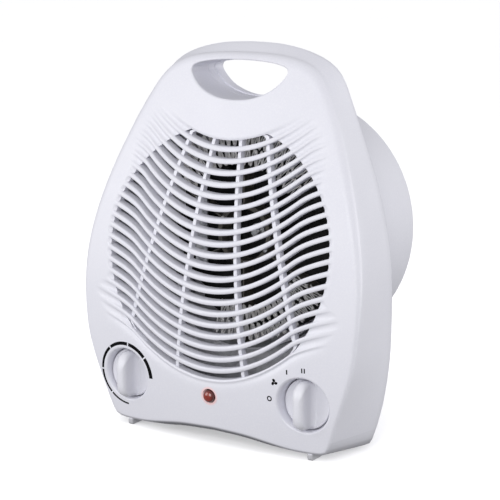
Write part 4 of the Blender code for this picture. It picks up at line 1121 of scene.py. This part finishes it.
screws = []
number = 0
for side in (-1, 1):
    for x, z in POSTS:
        number += 1
        screws.append(case_screw(number, side * x, z))
feet = []
for side, word in ((-1, "left"), (1, "right")):
    profile = [(0.0, 0.35), (3.0, 0.35), (3.3, 0.3), (3.6, 0.0), (5.7, 0.0), (6.15, 0.12), (6.35, 0.4), (6.4, 0.8), (6.3, 1.1), (6.1, 1.2), (0.0, 1.2)]
    feet.append(vertical_turned(f"rear_foot_{word}_moulding", side * 48.0, 83.0, profile))
bush_profile = [(3.6, 86.0), (5.0, 86.0), (5.3, 86.4), (5.3, 92.3), (7.6, 92.3), (7.95, 92.5), (8.0, 92.9), (7.9, 93.5), (7.5, 94.1), (6.8, 94.4), (4.6, 94.4), (4.0, 94.2), (3.7, 93.8), (3.6, 93.2)]
bush = shade(object_of("cord_inlet_bush_moulding", turned_mesh("cord_inlet_bush_moulding", -38.0, 18.0, bush_profile, 64)), 34)

# rivets and eyelets that fix the element to its hub
rivets = []
for k, (x, z, y, r) in enumerate([(2.5, 148.6, 38.3, 1.5), (17.5, 139.2, 38.3, 1.2), (16.4, 121.0, 38.3, 1.5), (1.0, 111.6, 38.3, 1.4), (-16.4, 121.0, 38.3, 1.4), (-16.0, 139.6, 38.3, 1.4),
                                  (-31.5, 112.0, 36.6, 1.5), (-31.5, 148.0, 36.6, 1.5)]):
    profile = [(0.0, y - 1.0), (r * 0.45, y - 0.96), (r * 0.8, y - 0.75), (r, y - 0.35), (r, y - 0.02), (0.0, y - 0.02)]
    rivets.append(shade(object_of(f"element_rivet_{k + 1}", turned_mesh(f"element_rivet_{k + 1}", x, z, profile, 28)), 34))


# ------------------------------------------------------------------ materials
def build(name, base, shader_values, colour_detail=(), bump=(), rough=None):
    """Principled material. colour_detail: list of (kind, scale, detail, strength, darker colour);
    bump: list of (kind, scale, strength, distance); rough: (scale, low, high)."""
    mat = bpy.data.materials.new(name)
    mat.use_nodes = True
    tree = mat.node_tree
    nodes, links = tree.nodes, tree.links
    shader = nodes["Principled BSDF"]
    for key, value in shader_values.items():
        shader.inputs[key].default_value = value
    coords = nodes.new("ShaderNodeTexCoord")

    def texture(kind, scale, detail=3.0, stretch=None):
        mapping = nodes.new("ShaderNodeMapping")
        links.new(coords.outputs["Object"], mapping.inputs["Vector"])
        mapping.inputs["Scale"].default_value = stretch or (1.0, 1.0, 1.0)
        if kind == "noise":
            tex = nodes.new("ShaderNodeTexNoise")
            tex.inputs["Scale"].default_value = scale
            tex.inputs["Detail"].default_value = detail
            out = tex.outputs["Fac"]
        elif kind == "voronoi":
            tex = nodes.new("ShaderNodeTexVoronoi")
            tex.inputs["Scale"].default_value = scale
            out = tex.outputs["Distance"]
        elif kind == "cells":
            tex = nodes.new("ShaderNodeTexVoronoi")
            tex.inputs["Scale"].default_value = scale
            bw = nodes.new("ShaderNodeRGBToBW")
            links.new(tex.outputs["Color"], bw.inputs["Color"])
            out = bw.outputs["Val"]
        else:
            tex = nodes.new("ShaderNodeTexWave")
            tex.wave_type = "BANDS"
            tex.bands_direction = kind.split("_")[1]
            tex.inputs["Scale"].default_value = scale
            tex.inputs["Distortion"].default_value = 0.3
            out = tex.outputs["Fac"]
        links.new(mapping.outputs["Vector"], tex.inputs["Vector"])
        return out

    colour = None
    if colour_detail:
        previous = None
        for kind, scale, detail, low, high, other, stretch in colour_detail:
            value = texture(kind, scale, detail, stretch)
            ramp = nodes.new("ShaderNodeMapRange")
            ramp.inputs["From Min"].default_value = low
            ramp.inputs["From Max"].default_value = high
            ramp.clamp = True
            links.new(value, ramp.inputs["Value"])
            mix = nodes.new("ShaderNodeMix")
            mix.data_type = "RGBA"
            links.new(ramp.outputs["Result"], mix.inputs["Factor"])
            if previous is None:
                mix.inputs["A"].default_value = (*base, 1.0)
            else:
                links.new(previous, mix.inputs["A"])
            mix.inputs["B"].default_value = (*other, 1.0)
            previous = mix.outputs["Result"]
        links.new(previous, shader.inputs["Base Color"])
    else:
        shader.inputs["Base Color"].default_value = (*base, 1.0)
    if rough:
        scale, low, high = rough
        value = texture("noise", scale, 4.0)
        ramp = nodes.new("ShaderNodeMapRange")
        ramp.inputs["From Min"].default_value = 0.3
        ramp.inputs["From Max"].default_value = 0.7
        ramp.inputs["To Min"].default_value = low
        ramp.inputs["To Max"].default_value = high
        links.new(value, ramp.inputs["Value"])
        links.new(ramp.outputs["Result"], shader.inputs["Roughness"])
    normal = None
    for kind, scale, strength, distance, stretch in bump:
        value = texture(kind, scale, 2.0, stretch)
        node = nodes.new("ShaderNodeBump")
        node.inputs["Strength"].default_value = strength
        node.inputs["Distance"].default_value = distance
        links.new(value, node.inputs["Height"])
        if normal is not None:
            links.new(normal, node.inputs["Normal"])
        normal = node.outputs["Normal"]
    if normal is not None:
        links.new(normal, shader.inputs["Normal"])
    mat.diffuse_color = (*base, 1.0)
    return mat


even = None
WHITE = build("moulded_white", (0.715, 0.715, 0.775), {"Specular IOR Level": 0.45},
              [("noise", 26.0, 3.0, 0.35, 0.75, (0.695, 0.695, 0.76), even), ("noise", 900.0, 2.0, 0.45, 0.8, (0.735, 0.735, 0.79), even)],
              [("noise", 2600.0, 0.05, 0.0001, even), ("noise", 130.0, 0.02, 0.0006, even)], (60.0, 0.36, 0.46))


def add_tint(mat, factor_of, colour):
    """Lays one more colour over a material's base, where the nodes that factor_of makes say so."""
    tree = mat.node_tree
    shader = tree.nodes["Principled BSDF"]
    old = shader.inputs["Base Color"].links[0].from_socket
    mix = tree.nodes.new("ShaderNodeMix")
    mix.data_type = "RGBA"
    tree.links.new(factor_of(tree), mix.inputs["Factor"])
    tree.links.new(old, mix.inputs["A"])
    mix.inputs["B"].default_value = (*colour, 1.0)
    tree.links.new(mix.outputs["Result"], shader.inputs["Base Color"])


def math_node(tree, operation, *values):
    node = tree.nodes.new("ShaderNodeMath")
    node.operation = operation
    for slot, value in zip(node.inputs, values):
        if isinstance(value, (int, float)):
            slot.default_value = value
        else:
            tree.links.new(value, slot)
    return node.outputs[0]


def ranged(tree, value, low, high, top):
    node = tree.nodes.new("ShaderNodeMapRange")
    node.interpolation_type = "SMOOTHSTEP"
    node.inputs["From Min"].default_value = low
    node.inputs["From Max"].default_value = high
    node.inputs["To Min"].default_value = 0.0
    node.inputs["To Max"].default_value = top
    tree.links.new(value, node.inputs["Value"])
    return node.outputs["Result"]


def object_place(tree):
    coords = tree.nodes.new("ShaderNodeTexCoord")
    split = tree.nodes.new("ShaderNodeSeparateXYZ")
    tree.links.new(coords.outputs["Object"], split.inputs["Vector"])
    return split.outputs


def painted_lens_glow(tree):
    """Painted glow: a pink tint painted on the plastic just around the lens, standing in for the lens's light."""
    x, y, z = object_place(tree)
    up = math_node(tree, "SUBTRACT", z, PILOT_Z * 0.001)
    reach = math_node(tree, "SQRT", math_node(tree, "ADD", math_node(tree, "MULTIPLY", x, x), math_node(tree, "MULTIPLY", up, up)))
    near = ranged(tree, math_node(tree, "MULTIPLY", reach, -1.0), -0.0068, -0.0050, 0.62)
    return math_node(tree, "MULTIPLY", near, math_node(tree, "LESS_THAN", y, -0.045))


def painted_underside_shade(tree):
    """Painted shade: darkens the downward-facing edge that the case stands on, most in the middle."""
    x, y, z = object_place(tree)
    geometry = tree.nodes.new("ShaderNodeNewGeometry")
    split = tree.nodes.new("ShaderNodeSeparateXYZ")
    tree.links.new(geometry.outputs["Normal"], split.inputs["Vector"])
    down = ranged(tree, math_node(tree, "MULTIPLY", split.outputs[2], -1.0), 0.22, 0.62, 0.9)
    middle = ranged(tree, math_node(tree, "MULTIPLY", math_node(tree, "ABSOLUTE", x), -1.0), -0.062, -0.036, 1.0)
    share = math_node(tree, "MULTIPLY", down, math_node(tree, "ADD", math_node(tree, "MULTIPLY", middle, 0.6), 0.4))
    return math_node(tree, "MULTIPLY", share, math_node(tree, "LESS_THAN", z, 0.014))


def painted_foot_shade(tree):
    """Painted shade: the front feet are painted darker grey towards the floor."""
    x, y, z = object_place(tree)
    low = ranged(tree, math_node(tree, "MULTIPLY", z, -1.0), -0.0046, -0.0030, 0.75)
    return math_node(tree, "MULTIPLY", low, math_node(tree, "LESS_THAN", y, -0.033))


def painted_lens_rim_shade(tree):
    """Painted shade: the red is painted darker towards the lens's edge."""
    x, y, z = object_place(tree)
    up = math_node(tree, "SUBTRACT", z, PILOT_Z * 0.001)
    reach = math_node(tree, "SQRT", math_node(tree, "ADD", math_node(tree, "MULTIPLY", x, x), math_node(tree, "MULTIPLY", up, up)))
    return ranged(tree, reach, 0.0021, 0.0041, 0.85)


# painted glow: pink light from the lens painted on the white plastic round it
add_tint(WHITE, painted_lens_glow, (0.98, 0.56, 0.53))
# painted shade: the downward-facing bottom edge is painted dark, as if in shadow
add_tint(WHITE, painted_underside_shade, (0.13, 0.13, 0.145))
# painted shade: the low parts of the front feet are painted grey
add_tint(WHITE, painted_foot_shade, (0.42, 0.42, 0.44))
KNOB_WHITE = build("knob_white", (0.71, 0.71, 0.765), {"Specular IOR Level": 0.5},
                   [("noise", 60.0, 3.0, 0.35, 0.75, (0.69, 0.69, 0.75), even), ("noise", 1200.0, 2.0, 0.45, 0.8, (0.73, 0.73, 0.78), even)],
                   [("noise", 2600.0, 0.04, 0.0001, even)], (90.0, 0.3, 0.4))
RED = build("lens_red", (0.20, 0.012, 0.006), {"Specular IOR Level": 0.5, "Coat Weight": 1.0, "Coat Roughness": 0.09, "IOR": 1.5},
            [("voronoi", 700.0, 2.0, 0.1, 0.8, (0.27, 0.028, 0.013), even)], [("voronoi", 900.0, 0.06, 0.0001, even)], (300.0, 0.08, 0.14))
# painted shade: the lens's red is painted darker towards its rim
add_tint(RED, painted_lens_rim_shade, (0.055, 0.004, 0.003))
GLASS = build("lamp_glass", (0.86, 0.76, 0.66), {"Transmission Weight": 0.85, "IOR": 1.47},
              [("noise", 300.0, 2.0, 0.4, 0.8, (0.80, 0.66, 0.52), even)], [("noise", 500.0, 0.05, 0.0001, even)], (200.0, 0.05, 0.12))
PRINT = build("scale_ink", (0.004, 0.004, 0.005), {"Specular IOR Level": 0.06},
              [("noise", 1500.0, 3.0, 0.5, 0.8, (0.012, 0.012, 0.014), even)], [("noise", 3000.0, 0.08, 0.00005, even)], (600.0, 0.7, 0.85))
RUBBER = build("rubber_black", (0.022, 0.022, 0.024), {"Specular IOR Level": 0.3},
               [("noise", 700.0, 4.0, 0.4, 0.75, (0.045, 0.045, 0.047), even)], [("noise", 1800.0, 0.25, 0.0002, even)], (200.0, 0.62, 0.82))
STEEL = build("zinc_plate", (0.58, 0.59, 0.61), {"Metallic": 1.0},
              [("noise", 260.0, 5.0, 0.4, 0.7, (0.44, 0.45, 0.48), (1.0, 1.0, 4.0)), ("noise", 70.0, 3.0, 0.5, 0.8, (0.62, 0.60, 0.54), even)],
              [("noise", 1400.0, 0.12, 0.0001, (1.0, 1.0, 6.0))], (220.0, 0.24, 0.42))
GALVANISED = build("galvanised", (0.60, 0.60, 0.64), {"Metallic": 0.25, "Specular IOR Level": 0.4},
                   [("cells", 230.0, 2.0, 0.2, 0.9, (0.46, 0.46, 0.50), even), ("noise", 60.0, 4.0, 0.45, 0.75, (0.66, 0.66, 0.69), even)],
                   [("cells", 230.0, 0.10, 0.0002, even)], (150.0, 0.42, 0.6))
MICA = build("mica", (0.085, 0.078, 0.066), {"Specular IOR Level": 0.5},
             [("cells", 420.0, 2.0, 0.3, 0.95, (0.15, 0.135, 0.11), even), ("noise", 180.0, 5.0, 0.45, 0.7, (0.06, 0.055, 0.05), even)],
             [("cells", 420.0, 0.35, 0.0002, even)], (260.0, 0.32, 0.6))
WIRE = build("resistance_alloy", (0.86, 0.85, 0.85), {"Metallic": 0.3, "Specular IOR Level": 0.5},
             [("noise", 350.0, 4.0, 0.4, 0.7, (0.66, 0.65, 0.65), even), ("noise", 40.0, 3.0, 0.5, 0.8, (0.72, 0.68, 0.64), even)],
             [("noise", 2200.0, 0.15, 0.00005, even)], (300.0, 0.34, 0.5))
BLACK = build("black_nylon", (0.008, 0.008, 0.009), {"Specular IOR Level": 0.25},
              [("noise", 200.0, 3.0, 0.4, 0.75, (0.014, 0.014, 0.015), even)], [("noise", 1500.0, 0.12, 0.0001, even)], (120.0, 0.5, 0.66))
IRON = build("laminated_iron", (0.17, 0.17, 0.18), {"Metallic": 0.9},
             [("wave_Y", 330.0, 2.0, 0.3, 0.9, (0.07, 0.07, 0.075), even), ("noise", 120.0, 4.0, 0.5, 0.8, (0.22, 0.16, 0.12), even)],
             [("wave_Y", 330.0, 0.6, 0.0003, even)], (180.0, 0.42, 0.62))
COPPER = build("enamelled_copper", (0.42, 0.15, 0.05), {"Metallic": 0.8, "Coat Weight": 0.5, "Coat Roughness": 0.18},
               [("wave_X", 420.0, 2.0, 0.2, 0.9, (0.20, 0.06, 0.02), even), ("noise", 90.0, 3.0, 0.5, 0.8, (0.50, 0.22, 0.09), even)],
               [("wave_X", 420.0, 0.8, 0.0004, even)], (200.0, 0.26, 0.4))
BRONZE = build("sintered_bronze", (0.44, 0.29, 0.13), {"Metallic": 0.9},
               [("noise", 1100.0, 4.0, 0.45, 0.7, (0.26, 0.17, 0.08), even)], [("noise", 1600.0, 0.4, 0.0002, even)], (400.0, 0.42, 0.62))
BRASS = build("brass", (0.66, 0.48, 0.20), {"Metallic": 1.0},
              [("noise", 160.0, 4.0, 0.4, 0.75, (0.50, 0.34, 0.13), (1.0, 4.0, 1.0))], [("noise", 1500.0, 0.12, 0.0001, (1.0, 6.0, 1.0))], (220.0, 0.24, 0.4))
CERAMIC = build("steatite", (0.70, 0.67, 0.60), {"Specular IOR Level": 0.5},
                [("noise", 380.0, 4.0, 0.4, 0.75, (0.60, 0.56, 0.49), even)], [("noise", 1400.0, 0.2, 0.0001, even)], (240.0, 0.4, 0.6))
NYLON = build("switch_nylon", (0.56, 0.54, 0.49), {"Specular IOR Level": 0.45},
              [("noise", 240.0, 3.0, 0.4, 0.75, (0.50, 0.48, 0.43), even)], [("noise", 1500.0, 0.1, 0.0001, even)], (200.0, 0.4, 0.55))
LEAD_BROWN = build("lead_brown", (0.13, 0.05, 0.025), {"Specular IOR Level": 0.5},
                   [("noise", 240.0, 3.0, 0.4, 0.75, (0.17, 0.07, 0.035), even)], [("noise", 1500.0, 0.1, 0.0001, even)], (200.0, 0.34, 0.5))
LEAD_BLUE = build("lead_blue", (0.025, 0.065, 0.24), {"Specular IOR Level": 0.5},
                  [("noise", 240.0, 3.0, 0.4, 0.75, (0.035, 0.09, 0.30), even)], [("noise", 1500.0, 0.1, 0.0001, even)], (200.0, 0.34, 0.5))
FLOOR = build("floor_paper", (0.93, 0.93, 0.94), {"Specular IOR Level": 0.1},
              [("noise", 3.0, 2.0, 0.4, 0.8, (0.92, 0.92, 0.93), even)], [("noise", 900.0, 0.05, 0.0001, even)], (20.0, 0.85, 0.95))

BY_NODE = {
    "rear_foot_": RUBBER, "case_screw_": STEEL, "thermostat_spindle": BRASS, "selector_spindle": NYLON,
    "thermostat_body": CERAMIC, "thermostat_blade": BRASS, "switch_body": BLACK, "pilot_lamp": GLASS, "fan_duct": GALVANISED,
    "duct_screw_": STEEL, "air_baffle": GALVANISED, "mica_frame": MICA, "thermal_cutout": STEEL, "thermal_fuse": BRASS,
    "terminal_strap": STEEL, "fan_impeller": BLACK, "fan_clip": STEEL, "motor_shaft": STEEL, "motor_rotor": IRON, "stator_core": IRON,
    "motor_coil": COPPER, "bearing_bracket_": GALVANISED, "bearing_bush_": BRONZE, "motor_mount": GALVANISED, "motor_bolt_": STEEL,
    "terminal_block": CERAMIC, "cord_inlet_bush": RUBBER, "lead_switch": LEAD_BROWN, "lead_thermostat": LEAD_BROWN, "lead_pilot": LEAD_BLUE,
    "front_shell": WHITE, "rear_shell": WHITE, "thermostat_knob": KNOB_WHITE, "selector_knob": KNOB_WHITE, "pilot_lens": RED,
    "element_upper": WIRE, "element_lower": WIRE,
}


def dress(obj, mat):
    obj.data.materials.clear()
    obj.data.materials.append(mat)
    for polygon in obj.data.polygons:
        polygon.material_index = 0


for node_name, node in frame["nodes"].items():
    for prefix, mat in BY_NODE.items():
        if node_name.startswith(prefix):
            for slot in node.material_slots:
                slot.material = mat
            break
    else:
        print("no material for", node_name)

for obj, mat, body, nodes_replaced, slot_name in [
    (front, WHITE, "case", ["front_shell"], "white_plastic"),
    (rear, WHITE, "case", ["rear_shell"], "white_plastic"),
    (knob_left, KNOB_WHITE, "thermostat_control", ["thermostat_knob"], "knob_plastic"),
    (knob_right, KNOB_WHITE, "selector_control", ["selector_knob"], "knob_plastic"),
    (spindle_left, BRASS, "thermostat_control", ["thermostat_spindle"], "brass"),
    (spindle_right, NYLON, "selector_control", ["selector_spindle"], "switch_nylon"),
    (lens, RED, "case", ["pilot_lens"], "red_lens"),
    (impeller, BLACK, "fan_rotor", ["fan_impeller"], "black_plastic"),
    (scale, PRINT, "case", [], None),
    (marks, PRINT, "case", [], None),
    (wire_upper, WIRE, "case", ["element_upper"], "resistance_wire"),
    (wire_lower, WIRE, "case", ["element_lower"], "resistance_wire"),
    (bush, RUBBER, "case", ["cord_inlet_bush"], "rubber"),
] + [(screw, STEEL, "case", [f"case_screw_{i + 1}"], "zinc_steel") for i, screw in enumerate(screws)] + [
    (foot, RUBBER, "case", [f"rear_foot_{word}"], "rubber") for foot, word in zip(feet, ("left", "right"))
] + [(rivet, STEEL, "case", [], "zinc_steel") for rivet in rivets]:
    dress(obj, mat)
    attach(obj, body)
    if nodes_replaced:
        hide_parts(*nodes_replaced)

# ------------------------------------------------------------------ floor, lights, camera
floor_mesh = bpy.data.meshes.new("studio_floor")
side_length = 14.0
floor_mesh.from_pydata([(-side_length, -side_length, 0), (side_length, -side_length, 0), (side_length, side_length, 0), (-side_length, side_length, 0)], [], [(0, 1, 2, 3)])
floor = bpy.data.objects.new("studio_floor", floor_mesh)
bpy.context.scene.collection.objects.link(floor)
floor.data.materials.append(FLOOR)


def softbox(name, place, target, width, height, power, colour=(1.0, 1.0, 1.0)):
    light = bpy.data.lights.new(name, "AREA")
    light.shape = "RECTANGLE"
    light.size, light.size_y = width, height
    light.energy = power
    light.color = colour
    obj = bpy.data.objects.new(name, light)
    bpy.context.scene.collection.objects.link(obj)
    obj.location = place
    obj.rotation_euler = (Vector(target) - Vector(place)).to_track_quat("-Z", "Y").to_euler()
    return obj


softbox("left_softbox", (-0.75, -0.95, 0.45), (0, 0, 0.13), 0.8, 0.8, 5.56)
softbox("front_softbox", (0.35, -1.1, 0.5), (0, 0, 0.13), 0.8, 0.8, 7.5)
softbox("right_softbox", (1.1, 0.5, 0.3), (0, 0, 0.14), 0.8, 0.8, 8.1)

# the paper is lit from overhead by a lamp of its own
paper = bpy.data.collections.new("paper")
bpy.context.scene.collection.children.link(paper)
paper.objects.link(floor)
sun = bpy.data.lights.new("paper_lamp", "SUN")
sun.energy = 2.05
sun.angle = math.radians(60)
sun_lamp = bpy.data.objects.new("paper_lamp", sun)
bpy.context.scene.collection.objects.link(sun_lamp)
sun_lamp.rotation_euler = (math.radians(12), math.radians(-6), 0)
sun_lamp.light_linking.receiver_collection = paper
sun_lamp.light_linking.blocker_collection = paper
floor.visible_diffuse = False
floor.visible_glossy = False

world = bpy.data.worlds.new("studio")
bpy.context.scene.world = world
world.use_nodes = True
background = world.node_tree.nodes["Background"]
background.inputs[0].default_value = (0.985, 0.985, 1.0, 1.0)
sky_place = world.node_tree.nodes.new("ShaderNodeTexCoord")
sky_split = world.node_tree.nodes.new("ShaderNodeSeparateXYZ")
sky_range = world.node_tree.nodes.new("ShaderNodeMapRange")
world.node_tree.links.new(sky_place.outputs["Generated"], sky_split.inputs[0])
world.node_tree.links.new(sky_split.outputs["Z"], sky_range.inputs["Value"])
world.node_tree.links.new(sky_range.outputs["Result"], background.inputs[1])
sky_range.inputs["From Min"].default_value = -0.35
sky_range.inputs["From Max"].default_value = 0.35
sky_range.inputs["To Min"].default_value = 0.318
sky_range.inputs["To Max"].default_value = 0.482

camera_data = bpy.data.cameras.new("camera")
camera = bpy.data.objects.new("camera", camera_data)
bpy.context.scene.collection.objects.link(camera)
camera.location = at(530.69, -784.81, 301.77)
camera.rotation_euler = (at(0.0, 0.0, 120.0) - camera.location).to_track_quat("-Z", "Y").to_euler()
camera_data.lens = 111.857
camera_data.sensor_width = 36.0
camera_data.shift_x = 0.0796
camera_data.shift_y = 0.0186
camera_data.clip_start = 0.01
bpy.context.scene.camera = camera

bpy.context.scene.view_settings.view_transform = "Standard"
bpy.context.scene.view_settings.look = "None"
bpy.context.scene.view_settings.exposure = 0.0
bpy.context.scene.view_settings.gamma = 1.0

for leftover in list(tools.objects):
    bpy.data.objects.remove(leftover, do_unlink=True)
